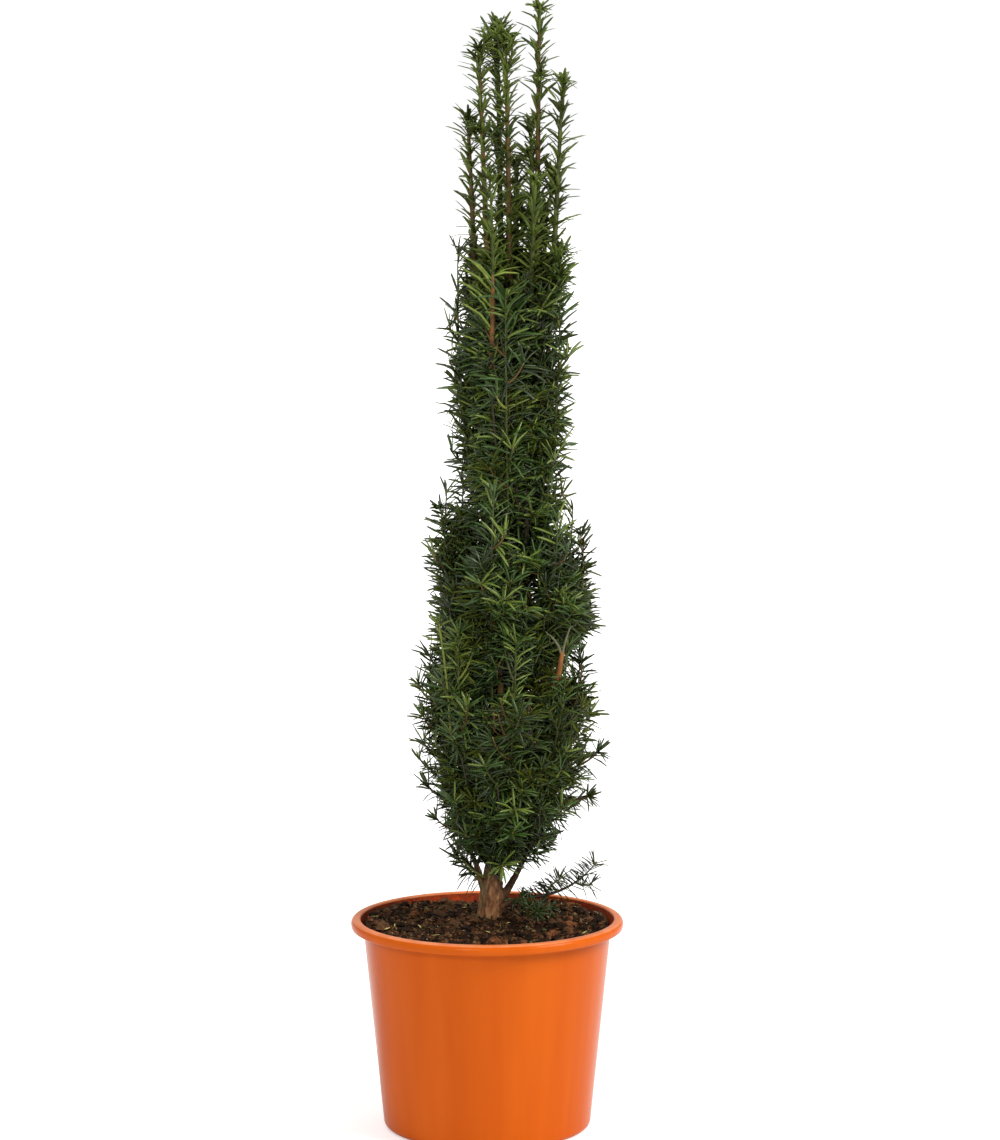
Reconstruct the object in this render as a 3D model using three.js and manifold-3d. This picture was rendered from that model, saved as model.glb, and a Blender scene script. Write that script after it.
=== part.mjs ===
// A columnar English yew in a plastic pot: an upright evergreen of many steep stems, about a metre tall.
//
// Millimetres, +Z up. The origin is the centre of the pot's flat underside, and the plant is seen from -Y.
// A trunk rises from the potting soil and runs up through the plant as its tallest leader. Boughs leave it
// steeply, and each ends where it enters a mass of foliage: one needle-bearing stem with side shoots.

import * as THREE from "three";
import { mergeVertices } from "three/addons/utils/BufferGeometryUtils.js";
import Module from "manifold-3d";

// ---------------------------------------------------------------- driving dimensions

const pot = {
  height: 186,
  rimRadius: 120,
  mouthRadius: 111.5,
  rimDepth: 11,
  wallTopRadius: 109,
  wallFootRadius: 91.5,
  wall: 2.2,
  floor: 3,
  footRounding: 6,
  segments: 40,
};
const soil = { belowRim: 8, mound: 5, relief: 3, clear: 0.3, rings: 5, segments: 32, seed: 11 };
const soilTop = pot.height - soil.belowRim + soil.mound;

// The trunk's centre line, from the soil to the foot of the tallest leader: it leans right as it climbs.
const trunk = {
  path: [
    [2, 6, soilTop + soil.clear],
    [7, 5, 250],
    [11, 3, 340],
    [10, 1, 430],
    [20, 1, 505],
    [26, 2, 570],
    [35, 3, 660],
    [43, 4, 744],
  ],
  footRadius: 8.2,
  tipRadius: 1.9,
  taper: 0.85,
  flare: 2.6, // swelling below the fork, where the lowest boughs leave
  forkHeight: 214,
  forkSpan: 14,
  rootFlare: 1.6,
  rootFlareHeight: 7,
  sides: 8,
  steps: 17,
  crowding: 1.6, // above 1, the steps crowd towards the foot, where the flare and the fork are
};
const boughs = { sides: 5, steps: 5, tipRadius: 1.6, joint: 0.3, bareStem: 14 };

// Needles stand in whorls of three on a three-sided shoot, one on each face, leaning away from its line by
// lean degrees. Each stands for a small spray. Each whorl is turned by twist degrees from the one below.
const needle = { length: 26, tipLength: 13, lean: 48, tipLean: 20, clear: 0.9, checks: 5 };
const shoot = { radius: 1.7, tipRadius: 0.8, twist: 41, bud: 4 };

// Side shoots leave a stem a golden angle apart, from first to last of its length. Each swings out and
// turns up, to reach out and up by these shares of its length, and tries other bearings if it isn't free.
const sideShoots = {
  first: 0.08,
  last: 0.86,
  turn: 137.5,
  out: [0.42, 0.62],
  rise: [0.22, 0.72],
  radius: 1.3,
  bare: 5,
  tries: 5,
  clear: 3.2,
};

// Rings of foliage round the trunk. Bearings run from +X (the right) towards +Y (the back), in degrees.
// A mass's stem runs from its foot circle to its tip circle, and its side shoots spread from it. Where
// leaves gives a height, a bough leaves the trunk there for the mass, and otherwise its own stem does.
const rings = [
  {
    name: "low",
    sides: ["left", "front_left", "front", "front_right", "right", "back_right", "back", "back_left"],
    firstBearing: 188,
    foot: { centre: [11, 4], radius: 25, height: 243 },
    tip: { centre: [16, 0], radius: 66, height: 430 },
    tipRise: [-10, 16, 10, 0, -12, 10, 7, 14],
    leaves: [196, null, null, null, 201, null, null, null],
    bow: 0.12,
    sideShoots: 6,
    sideLength: 56,
    whorl: 12,
    boughRadius: 4.2,
  },
  {
    name: "middle",
    sides: ["left", "front_left", "front_right", "right", "back_right", "back_left"],
    firstBearing: 196,
    foot: { centre: [13, 0], radius: 34, height: 378 },
    tip: { centre: [20, 0], radius: 57, height: 550 },
    tipRise: [14, 18, -6, -4, 0, 16],
    leaves: [284, 302, 292, 276, 310, 296],
    bow: 0.08,
    sideShoots: 6,
    sideLength: 48,
    whorl: 11.5,
    boughRadius: 3.1,
  },
  {
    name: "upper",
    sides: ["left", "front_left", "front_right", "back_right", "back_left"],
    firstBearing: 193,
    foot: { centre: [21, 0], radius: 28, height: 524 },
    tip: { centre: [20, 0], radius: 46, height: 760 },
    tipRise: [10, -26, -10, 16, 4],
    leaves: [430, 452, 444, 436, 462],
    bow: 0.05,
    sideShoots: 7,
    sideLength: 42,
    whorl: 11.5,
    boughRadius: 2.7,
  },
];

// The leaders that crown the plant, each a single steep stem. The tallest goes on from the trunk's tip.
const leaders = [
  { name: "tall", foot: [43, 4, 744.3], tip: [45, 5, 978], sideShoots: 3 },
  { name: "left_outer", foot: [3, -8, 706], tip: [-7, -9, 944], leaves: 560, sideShoots: 2 },
  { name: "left_middle", foot: [13, 9, 716], tip: [9, 9, 964], leaves: 604, sideShoots: 2 },
  { name: "left_inner", foot: [21, -9, 712], tip: [16, -5, 956], leaves: 632, sideShoots: 1 },
  { name: "right", foot: [55, -6, 708], tip: [65, -6, 916], leaves: 592, sideShoots: 2 },
  { name: "far_left", foot: [-8, 6, 700], tip: [-16, 3, 884], leaves: 536, sideShoots: 1 },
  { name: "middle", foot: [40, 17, 716], tip: [38, 21, 880], leaves: 640, sideShoots: 1 },
  { name: "middle_back", foot: [25, 21, 712], tip: [25, 22, 846], leaves: 580, sideShoots: 1 },
  { name: "front", foot: [37, -18, 700], tip: [41, -23, 834], leaves: 618, sideShoots: 1 },
];
const leaderStyle = { sideLength: 34, whorl: 10, boughRadius: 2.4 };

// One low spray arches out over the soil to the right.
const spray = { foot: [31, -2, 204], tip: [95, -9, 236], bow: [4, 0, -9], leaves: 190 };

const colours = {
  pot: 0xe8652a,
  soil: 0x3b2619,
  bark: 0x7a4d2f,
  needles: 0x2f4d1d,
};

// ---------------------------------------------------------------- small tools

const wasm = await Module();
wasm.setup();

const up = new THREE.Vector3(0, 0, 1);
const vec = (p) => new THREE.Vector3(...p);
const radians = THREE.MathUtils.degToRad;

// Park-Miller numbers from 0 to 1: the same seed always grows the same shoots.
function seeded(seed) {
  const modulus = 2147483647;
  let state = (seed * 48271 + 1) % modulus;
  return () => {
    state = (state * 16807) % modulus;
    return state / modulus;
  };
}

// The same surface with its shared corners merged.
function welded(geometry) {
  const bare = new THREE.BufferGeometry();
  bare.setAttribute("position", geometry.getAttribute("position"));
  bare.setIndex(geometry.index);
  return mergeVertices(bare, 1e-3);
}

// A closed geometry as a solid, without the empty triangles at a lathe's poles.
function solidOf(geometry) {
  const merged = welded(geometry);
  const index = merged.index.array;
  const kept = [];
  for (let i = 0; i < index.length; i += 3) {
    const [a, b, c] = index.subarray(i, i + 3);
    if (a !== b && b !== c && c !== a) kept.push(a, b, c);
  }
  return new wasm.Manifold(
    new wasm.Mesh({
      numProp: 3,
      vertProperties: new Float32Array(merged.attributes.position.array),
      triVerts: new Uint32Array(kept),
    }),
  );
}

// The main body of a solid, without scraps that a cut left loose or hollows that a join sealed.
function mainBody(solid) {
  const bodies = solidOf(geometryOf(solid)).decompose();
  return bodies.reduce((best, body) => (body.volume() > best.volume() ? body : best));
}

function geometryOf(solid) {
  const { vertProperties, triVerts } = solid.getMesh();
  const geometry = new THREE.BufferGeometry();
  geometry.setAttribute("position", new THREE.BufferAttribute(vertProperties, 3));
  geometry.setIndex(new THREE.BufferAttribute(triVerts, 1));
  geometry.computeVertexNormals();
  return geometry;
}

// Two directions across a line that runs along tangent. On a steep line they are close to +X and +Y.
function across(tangent) {
  const guide = Math.abs(tangent.z) > 0.6 ? new THREE.Vector3(1, 0, 0) : up;
  const first = guide.clone().addScaledVector(tangent, -guide.dot(tangent)).normalize();
  return [first, tangent.clone().cross(first)];
}

function distanceToSegment(point, a, b) {
  const line = b.clone().sub(a);
  const along = THREE.MathUtils.clamp(point.clone().sub(a).dot(line) / line.lengthSq(), 0, 1);
  return { gap: point.distanceTo(a.clone().addScaledVector(line, along)), along };
}

// ---------------------------------------------------------------- trunk and boughs

// A round limb: a cylinder wrapped onto a curve, with its radius given by radiusAt(0 to 1).
function limbGeometry(curve, radiusAt, sides, steps) {
  const geometry = new THREE.CylinderGeometry(1, 1, 1, sides, steps);
  geometry.rotateX(Math.PI / 2);
  const position = geometry.attributes.position;
  for (let i = 0; i < position.count; i++) {
    const along = THREE.MathUtils.clamp(position.getZ(i) + 0.5, 0, 1);
    const [first, second] = across(curve.getTangent(along));
    const centre = curve.getPoint(along);
    const radius = radiusAt(along);
    centre.addScaledVector(first, position.getX(i) * radius);
    centre.addScaledVector(second, position.getY(i) * radius);
    position.setXYZ(i, centre.x, centre.y, centre.z);
  }
  return geometry;
}

const trunkCurve = new THREE.CatmullRomCurve3(trunk.path.map(vec));

function trunkRadius(along) {
  const height = trunkCurve.getPoint(along).z;
  const { footRadius, tipRadius, forkHeight, forkSpan } = trunk;
  const taper = tipRadius + (footRadius - tipRadius) * (1 - along) ** trunk.taper;
  const belowFork = 1 - THREE.MathUtils.smoothstep(height, forkHeight - forkSpan, forkHeight + forkSpan);
  const atFoot = Math.exp((soilTop - height) / trunk.rootFlareHeight);
  return taper + trunk.flare * belowFork + trunk.rootFlare * atFoot;
}

// The trunk, or with extra the room it takes up with that much space all round it.
function trunkGeometry(extra = 0) {
  const crowd = (along) => along ** trunk.crowding;
  const stepped = new THREE.Curve();
  stepped.getPoint = (along) => trunkCurve.getPoint(crowd(along));
  stepped.getTangent = (along) => trunkCurve.getTangent(crowd(along));
  const geometry = limbGeometry(stepped, (t) => trunkRadius(crowd(t)) + extra, trunk.sides, trunk.steps);
  if (extra) return geometry;
  const position = geometry.attributes.position;
  for (let i = 0; i < position.count; i++) {
    // the foot is one flat, level cut
    if (position.getZ(i) < soilTop + 2) position.setZ(i, soilTop + soil.clear);
  }
  return geometry;
}

// How far along the trunk's centre line, from 0 to 1, a height lies.
function trunkAlong(height) {
  let low = 0;
  let high = 1;
  for (let i = 0; i < 30; i++) {
    const middle = (low + high) / 2;
    if (trunkCurve.getPoint(middle).z < height) low = middle;
    else high = middle;
  }
  return low;
}

const limbs = []; // { name, geometry, line: [{ centre, radius }] } of every trunk and bough

function limbLine(curve, radiusAt, steps) {
  return Array.from({ length: steps + 1 }, (_, i) => ({
    centre: curve.getPoint(i / steps),
    radius: radiusAt(i / steps),
  }));
}

// A bough leaves the trunk's middle at a height, swings out and turns up into the foot of its mass.
function boughCurve(leavingHeight, foot, footDirection) {
  const from = trunkCurve.getPoint(trunkAlong(leavingHeight));
  const rise = foot.z - from.z;
  const outwards = foot.clone().sub(from).setZ(0);
  return new THREE.CubicBezierCurve3(
    from,
    from.clone().addScaledVector(outwards, 0.45).addScaledVector(up, rise * 0.3),
    foot.clone().addScaledVector(footDirection, -rise * 0.4),
    foot,
  );
}

function addBough(name, leavingHeight, foot, footDirection, radius) {
  const curve = boughCurve(leavingHeight, foot, footDirection);
  const radiusAt = (along) => boughs.tipRadius + (radius - boughs.tipRadius) * (1 - along) ** 0.9;
  limbs.push({
    name,
    geometry: limbGeometry(curve, radiusAt, boughs.sides, boughs.steps),
    line: limbLine(curve, radiusAt, 12),
  });
}

// ---------------------------------------------------------------- where the masses stand

// { name, foot, tip, bow, seed, leaves, sideShoots, sideLength, whorl } for every mass of foliage
function masses() {
  const found = [];
  for (const ring of rings) {
    ring.sides.forEach((side, i) => {
      const bearing = radians(ring.firstBearing + (360 / ring.sides.length) * i);
      const outward = new THREE.Vector3(Math.cos(bearing), Math.sin(bearing), 0);
      const onCircle = ({ centre, radius, height }) =>
        new THREE.Vector3(...centre, height).addScaledVector(outward, radius);
      const foot = onCircle(ring.foot);
      const tip = onCircle(ring.tip).addScaledVector(up, ring.tipRise[i]);
      const bow = outward.multiplyScalar(ring.bow * foot.distanceTo(tip));
      found.push({ ...ring, name: `foliage_${ring.name}_${side}`, foot, tip, bow, leaves: ring.leaves[i] });
    });
  }
  for (const leader of leaders) {
    const [foot, tip] = [vec(leader.foot), vec(leader.tip)];
    const bow = new THREE.Vector3();
    found.push({ ...leaderStyle, ...leader, name: `leader_${leader.name}`, foot, tip, bow });
  }
  const lowSpray = { sideShoots: 2, sideLength: 24, whorl: 8, boughRadius: 2.4, leaves: spray.leaves };
  const [foot, tip, bow] = [vec(spray.foot), vec(spray.tip), vec(spray.bow)];
  found.push({ ...lowSpray, name: "foliage_low_spray", foot, tip, bow });
  return found.map((mass, i) => ({ ...mass, seed: i + 1, onTrunkTip: mass.name === "leader_tall" }));
}

// A mass with no bough of its own springs from the trunk just below its foot circle.
function massStem({ foot, tip, bow, leaves, onTrunkTip }) {
  const middle = foot.clone().lerp(tip, 0.5).add(bow);
  if (leaves || onTrunkTip) return new THREE.QuadraticBezierCurve3(foot, middle, tip);
  const onTrunk = trunkCurve.getPoint(trunkAlong(foot.z - 4));
  return new THREE.CubicBezierCurve3(onTrunk, foot, middle, tip);
}

const plan = masses().map((mass) => ({ ...mass, stem: massStem(mass) }));
for (const mass of plan) {
  mass.line = Array.from({ length: 17 }, (_, i) => mass.stem.getPoint(i / 16));
  if (!mass.leaves) continue;
  const direction = mass.stem.getTangent(0);
  const end = mass.foot.clone().addScaledVector(direction, -boughs.joint);
  addBough(mass.name.replace(/^(foliage|leader)/, "bough"), mass.leaves, end, direction, mass.boughRadius);
}
limbs.push({ name: "trunk", geometry: trunkGeometry(), line: limbLine(trunkCurve, trunkRadius, 40) });

// The trunk with its joint's gap round it: what grows from the trunk is cut back to this.
const trunkRoom = solidOf(trunkGeometry(boughs.joint));

// ---------------------------------------------------------------- which space is free

const distanceToLine = (point, line) => {
  let least = Infinity;
  for (let i = 1; i < line.length; i++) {
    least = Math.min(least, distanceToSegment(point, line[i - 1], line[i]).gap);
  }
  return least;
};

// True where a point lies nearer to its own mass's stem than to any other's, by at least spare.
function inOwnSpace(point, mass, spare) {
  const own = distanceToLine(point, mass.line);
  return plan.every((other) => {
    if (other === mass) return true;
    return distanceToLine(point, other.line) > own + spare;
  });
}

// True where a point is clear of the trunk, of every bough and of the pot and its soil.
function clearOfLimbs(point, spare) {
  if (point.z < soilTop + spare + 5) return false;
  return limbs.every(({ line }) => {
    for (let i = 1; i < line.length; i++) {
      const { gap, along } = distanceToSegment(point, line[i - 1].centre, line[i].centre);
      const radius = THREE.MathUtils.lerp(line[i - 1].radius, line[i].radius, along);
      if (gap < radius + spare) return false;
    }
    return true;
  });
}

// ---------------------------------------------------------------- foliage

// The needle's tip, or null where no needle of at least half its length would keep to its mass's space.
function needleTip(root, direction, length, mass) {
  for (const share of [1, 0.8, 0.6]) {
    let free = true;
    for (let i = 1; i <= needle.checks && free; i++) {
      const point = root.clone().addScaledVector(direction, (length * share * i) / needle.checks);
      const spare = i < 3 ? needle.clear * 2 : needle.clear;
      free = inOwnSpace(point, mass, spare * 2) && clearOfLimbs(point, spare + 0.6);
    }
    if (free) return root.clone().addScaledVector(direction, length * share);
  }
  return null;
}

// One shoot: a three-sided twig whose faces carry needles, each a slim pyramid that grows from its face.
function shootSolid(curve, length, mass, { bareBelow = 0, radius = shoot.radius } = {}) {
  const steps = Math.max(3, Math.round(length / mass.whorl));
  const rows = [];
  for (let i = 0; i <= steps; i++) {
    const along = i / steps;
    const tangent = curve.getTangent(along);
    const [first, second] = across(tangent);
    const size = THREE.MathUtils.lerp(radius, shoot.tipRadius, along);
    const corners = [0, 1, 2].map((corner) => {
      const turn = radians(120 * corner + shoot.twist * i);
      return curve
        .getPoint(along)
        .addScaledVector(first, size * Math.cos(turn))
        .addScaledVector(second, size * Math.sin(turn));
    });
    rows.push({ along, tangent, corners, centre: curve.getPoint(along) });
  }
  const corners = [];
  const triangle = (a, b, c) => corners.push(a, b, c);
  triangle(rows[0].corners[0], rows[0].corners[2], rows[0].corners[1]);
  for (let i = 0; i < steps; i++) {
    const [low, high] = [rows[i], rows[i + 1]];
    const towardsTip = high.along ** 2;
    const reach = THREE.MathUtils.lerp(needle.length, needle.tipLength, towardsTip);
    const lean = radians(THREE.MathUtils.lerp(needle.lean, needle.tipLean, towardsTip));
    for (let side = 0; side < 3; side++) {
      const next = (side + 1) % 3;
      const face = [low.corners[side], low.corners[next], high.corners[next], high.corners[side]];
      const root = new THREE.Vector3();
      face.forEach((corner) => root.addScaledVector(corner, 0.25));
      const outward = root.clone().sub(low.centre.clone().lerp(high.centre, 0.5)).normalize();
      const direction = outward.multiplyScalar(Math.sin(lean)).addScaledVector(low.tangent, Math.cos(lean));
      const tip = low.along * length < bareBelow ? null : needleTip(root, direction.normalize(), reach, mass);
      if (tip) {
        face.forEach((corner, k) => triangle(corner, face[(k + 1) % 4], tip));
      } else {
        triangle(face[0], face[1], face[2]);
        triangle(face[0], face[2], face[3]);
      }
    }
  }
  const last = rows[steps];
  const bud = last.centre.clone().addScaledVector(last.tangent, shoot.bud);
  [0, 1, 2].forEach((side) => triangle(last.corners[side], last.corners[(side + 1) % 3], bud));
  const geometry = new THREE.BufferGeometry().setFromPoints(corners);
  return solidOf(geometry);
}

// A side shoot's line: it leaves the stem a share of the way along, swings out and turns upwards.
function sideShootCurve(mass, along, bearing, length) {
  const tangent = mass.stem.getTangent(along);
  const [first, second] = across(tangent);
  const outward = first.multiplyScalar(Math.cos(bearing)).addScaledVector(second, Math.sin(bearing));
  const from = mass.stem.getPoint(along);
  const [middle, end] = sideShoots.out.map((out, i) =>
    from.clone().addScaledVector(outward, length * out).addScaledVector(tangent, length * sideShoots.rise[i]),
  );
  return new THREE.QuadraticBezierCurve3(from, middle, end);
}

// The first of a few side shoots, each shorter and turned further, that keeps to its mass's space, or null.
function freeSideShoot(mass, along, bearing, length) {
  for (let turn = 0; turn < sideShoots.tries; turn++) {
    const shorter = length * (1 - 0.08 * turn);
    const curve = sideShootCurve(mass, along, bearing + radians(sideShoots.turn * turn), shorter);
    const free = [0.3, 0.5, 0.75, 1].every((share) => {
      const point = curve.getPoint(share);
      return inOwnSpace(point, mass, sideShoots.clear) && clearOfLimbs(point, sideShoots.clear);
    });
    if (free) return { curve, length: shorter };
  }
  return null;
}

function massSolid(mass) {
  const random = seeded(mass.seed);
  const fromTrunk = !mass.leaves && !mass.onTrunkTip;
  const bareBelow = fromTrunk ? boughs.bareStem : 0;
  let solid = shootSolid(mass.stem, mass.stem.getLength(), mass, { bareBelow });
  for (let i = 0; i < mass.sideShoots; i++) {
    const share = (i + 0.5 * random()) / mass.sideShoots;
    const along = THREE.MathUtils.lerp(sideShoots.first, sideShoots.last, share);
    const bearing = radians(sideShoots.turn * i + 60 * random());
    const length = mass.sideLength * (0.75 + 0.4 * random()) * (1.1 - 0.5 * along);
    const side = freeSideShoot(mass, along, bearing, length);
    const style = { bareBelow: sideShoots.bare, radius: sideShoots.radius };
    if (side) solid = solid.add(shootSolid(side.curve, side.length, mass, style));
  }
  return mainBody(fromTrunk ? solid.subtract(trunkRoom) : solid);
}

// ---------------------------------------------------------------- pot and soil

// The pot is turned: up the outside, over the rolled rim and down the inside.
function potGeometry() {
  const { height, rimRadius, mouthRadius, rimDepth, wallTopRadius, wallFootRadius, wall } = pot;
  const rimFoot = height - rimDepth;
  const arc = (x, y, radius, from, to, steps) =>
    Array.from({ length: steps + 1 }, (_, i) => {
      const turn = radians(from + ((to - from) * i) / steps);
      return new THREE.Vector2(x + radius * Math.cos(turn), y + radius * Math.sin(turn));
    });
  const rounding = pot.footRounding;
  const profile = [
    new THREE.Vector2(0, 0),
    ...arc(wallFootRadius - rounding, rounding, rounding, -90, 0, 2),
    new THREE.Vector2(wallTopRadius, rimFoot),
    new THREE.Vector2(rimRadius - 1.5, rimFoot),
    ...arc(rimRadius - 4, height - 4, 4, 0, 90, 2),
    ...arc(mouthRadius + 1.5, height - 1.5, 1.5, 90, 180, 1),
    new THREE.Vector2(wallTopRadius - wall + 0.4, rimFoot - 4),
    new THREE.Vector2(wallFootRadius - wall, pot.floor + rounding),
    new THREE.Vector2(wallFootRadius - wall - rounding + 1, pot.floor),
    new THREE.Vector2(0, pot.floor),
  ];
  return new THREE.LatheGeometry(profile, pot.segments).rotateX(Math.PI / 2);
}

// The soil fills the pot. Its top is mounded and crumbly, with a level pad for the trunk to stand on.
function soilGeometry() {
  const random = seeded(soil.seed);
  const edgeHeight = pot.height - soil.belowRim;
  const bottom = pot.floor + soil.clear;
  const innerRadius = (height) =>
    THREE.MathUtils.mapLinear(
      height,
      pot.floor + pot.footRounding,
      pot.height - pot.rimDepth - 4,
      pot.wallFootRadius - pot.wall,
      pot.wallTopRadius - pot.wall + 0.4,
    ) - soil.clear * 3;
  const profile = [
    new THREE.Vector2(0, bottom),
    new THREE.Vector2(innerRadius(bottom + 6) - pot.footRounding, bottom),
    new THREE.Vector2(innerRadius(bottom + 7), bottom + 7),
    new THREE.Vector2(innerRadius(edgeHeight - 6), edgeHeight),
  ];
  const widest = profile.at(-1).x;
  for (let ring = 1; ring < soil.rings; ring++) {
    const share = 1 - ring / soil.rings;
    profile.push(new THREE.Vector2(widest * share, edgeHeight + soil.mound * (1 - share ** 2)));
  }
  profile.push(new THREE.Vector2(0, soilTop));
  const geometry = welded(new THREE.LatheGeometry(profile, soil.segments).rotateX(Math.PI / 2));
  const position = geometry.attributes.position;
  const pad = widest / soil.rings + 1;
  for (let i = 0; i < position.count; i++) {
    const fromMiddle = Math.hypot(position.getX(i), position.getY(i));
    const height = position.getZ(i);
    if (height < edgeHeight - 1 || fromMiddle > widest - 1) continue;
    const lump = (random() - 0.6) * soil.relief * 2;
    position.setZ(i, fromMiddle < pad ? soilTop : height + lump);
  }
  return geometry;
}

// ---------------------------------------------------------------- the plant

const group = new THREE.Group();
const paint = (color, roughness) =>
  new THREE.MeshStandardMaterial({ color, roughness, metalness: 0, flatShading: true });
const materials = {
  pot: paint(colours.pot, 0.35),
  soil: paint(colours.soil, 0.95),
  bark: paint(colours.bark, 0.85),
  needles: paint(colours.needles, 0.5),
};

function addMesh(name, geometry, material) {
  const mesh = new THREE.Mesh(geometry, material);
  mesh.name = name;
  group.add(mesh);
}

addMesh("pot", geometryOf(solidOf(potGeometry())), materials.pot);
addMesh("soil", geometryOf(solidOf(soilGeometry())), materials.soil);

for (const { name, geometry } of limbs) {
  const solid = solidOf(geometry);
  const body = name === "trunk" ? solid : mainBody(solid.subtract(trunkRoom));
  addMesh(name, geometryOf(body), materials.bark);
}
for (const mass of plan) addMesh(mass.name, geometryOf(massSolid(mass)), materials.needles);

export default group;
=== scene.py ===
import math
from functools import cache

import bmesh
import bpy
import numpy as np
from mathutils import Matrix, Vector, noise


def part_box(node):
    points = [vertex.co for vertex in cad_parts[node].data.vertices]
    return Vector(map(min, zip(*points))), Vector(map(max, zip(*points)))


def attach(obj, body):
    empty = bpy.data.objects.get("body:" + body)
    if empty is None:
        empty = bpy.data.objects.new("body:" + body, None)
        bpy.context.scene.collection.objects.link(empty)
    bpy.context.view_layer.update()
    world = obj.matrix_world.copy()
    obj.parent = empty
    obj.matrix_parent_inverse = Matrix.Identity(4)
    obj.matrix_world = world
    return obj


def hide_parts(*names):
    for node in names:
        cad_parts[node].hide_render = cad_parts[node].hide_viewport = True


# A columnar English yew in an orange plastic pot. Metres, +Z up, seen from -Y.
# The boughs, twigs and needles grow by the same seeded rule as the solids, carried to finer twigs.

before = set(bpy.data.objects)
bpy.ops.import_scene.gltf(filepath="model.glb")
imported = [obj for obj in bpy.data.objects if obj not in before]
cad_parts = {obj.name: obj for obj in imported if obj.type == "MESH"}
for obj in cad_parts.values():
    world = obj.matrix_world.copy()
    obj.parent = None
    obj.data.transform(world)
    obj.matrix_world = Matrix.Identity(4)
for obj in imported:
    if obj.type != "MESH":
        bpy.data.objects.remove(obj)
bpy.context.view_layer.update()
mm = 0.001
full = 2 * math.pi


def smoothStep(value, low, high):
    share = min(1.0, max(0.0, (value - low) / (high - low)))
    return share * share * (3 - 2 * share)


def mix(a, b, share):
    return a + (b - a) * share


def unitRow(vector):
    return vector / np.linalg.norm(vector, axis=-1, keepdims=True)


def squareTo(axis, vector):
    # the part of a vector that is square to an axis, made one unit long
    return unitRow(vector - axis * (vector * axis).sum(-1, keepdims=True))


def stepLengths(points):
    return np.linalg.norm(np.diff(points, axis=0), axis=1)


def extruded(bm, edges):
    # the new corners and edges that a line of edges is drawn out to
    made = bmesh.ops.extrude_edge_only(bm, edges=edges)["geom"]
    verts = [g for g in made if isinstance(g, bmesh.types.BMVert)]
    return verts, [g for g in made if isinstance(g, bmesh.types.BMEdge)]


def linked(name, data):
    made = bpy.data.objects.new(name, data)
    bpy.context.scene.collection.objects.link(made)
    return made


def feed(tree, node, inputs):
    # each input takes a plain value, or another node's output
    for name, value in inputs.items():
        if isinstance(value, bpy.types.NodeSocket):
            tree.links.new(value, node.inputs[name])
        else:
            node.inputs[name].default_value = value


def addNode(tree, kind, inputs=None, **settings):
    node = tree.nodes.new(f"ShaderNode{kind}")
    for name, value in settings.items():
        setattr(node, name, value)
    feed(tree, node, inputs or {})
    return node


def newMaterial(name, inputs):
    material = bpy.data.materials.new(name)
    material.use_nodes = True
    shader = material.node_tree.nodes["Principled BSDF"]
    feed(material.node_tree, shader, inputs)
    return material, shader


# camera, floor and light

view = {"place": (0.0113, -3.2, 0.866), "tiltDown": 6.636, "lens": 116.8, "sensor": 36}
studio = {
    "floorRadius": 40.0,
    "floorColour": (0.86, 0.86, 0.855),
    "floorGlow": 0.4,
    "roomStrength": 0.4,
    "mirroredStrength": 0.55,
    "backdropStrength": 1.02,
    # bearing and height in degrees, strength, softness in degrees and colour of each broad light
    "broadLights": {
        "keyLight": (68, 40, 2.6, 30, (1.0, 0.985, 0.96)),
        "fillLight": (-18, 30, 0.85, 14, (0.99, 0.995, 1.0)),
        "topLight": (-150, 72, 1.1, 60, (1.0, 1.0, 1.0)),
    },
}


def addCamera():
    data = bpy.data.cameras.new("camera")
    data.lens, data.sensor_width = view["lens"], view["sensor"]
    camera = linked("camera", data)
    camera.location = view["place"]
    camera.rotation_euler = (math.radians(90 - view["tiltDown"]), 0, 0)
    bpy.context.scene.camera = camera


def addFloor():
    bm = bmesh.new()
    bmesh.ops.create_circle(bm, cap_ends=True, segments=96, radius=studio["floorRadius"])
    mesh = bpy.data.meshes.new("studio_floor")
    bm.to_mesh(mesh)
    bm.free()
    material, shader = newMaterial("floorPale", {
        "Base Color": (*studio["floorColour"], 1), "Roughness": 0.9, "Specular IOR Level": 0.1,
        "Emission Color": (1, 1, 1, 1),
    })
    # a little glow that only the camera sees keeps the floor pale in its own soft shadows
    tree = material.node_tree
    seen = addNode(tree, "LightPath").outputs["Is Camera Ray"]
    glow = addNode(tree, "MapRange", {"To Max": studio["floorGlow"], "Value": seen})
    feed(tree, shader, {"Emission Strength": glow.outputs["Result"]})
    mesh.materials.append(material)
    floor = linked("studio_floor", mesh)


def addLights():
    for name, (bearing, height, strength, softness, colour) in studio["broadLights"].items():
        light = bpy.data.lights.new(name, "SUN")
        light.energy, light.angle, light.color = strength, math.radians(softness), colour
        linked(name, light).rotation_euler = (math.radians(90 - height), 0, math.radians(bearing))
    world = bpy.data.worlds.new("studioWorld")
    world.use_nodes = True
    # the room lights softly, shines brighter in glossy surfaces and is white behind the plant
    tree = world.node_tree
    rays = addNode(tree, "LightPath").outputs
    strength = studio["roomStrength"]
    for ray, brighter in (("Is Glossy Ray", "mirroredStrength"), ("Is Camera Ray", "backdropStrength")):
        ramp = addNode(tree, "MapRange", {"To Min": strength, "To Max": studio[brighter], "Value": rays[ray]})
        strength = ramp.outputs["Result"]
    feed(tree, tree.nodes["Background"], {"Color": (1, 1, 1, 1), "Strength": strength})
    bpy.context.scene.world = world
    bpy.context.scene.view_settings.view_transform = "Standard"


addCamera()
addFloor()
addLights()
print("stage: camera, floor and lights")


# materials

def srgb(red, green, blue):
    # 0 to 255 as seen on a screen, to the linear colour that a shader takes
    shares = [value / 255 for value in (red, green, blue)]
    return tuple(s / 12.92 if s <= 0.04045 else ((s + 0.055) / 1.055) ** 2.4 for s in shares)


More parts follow.
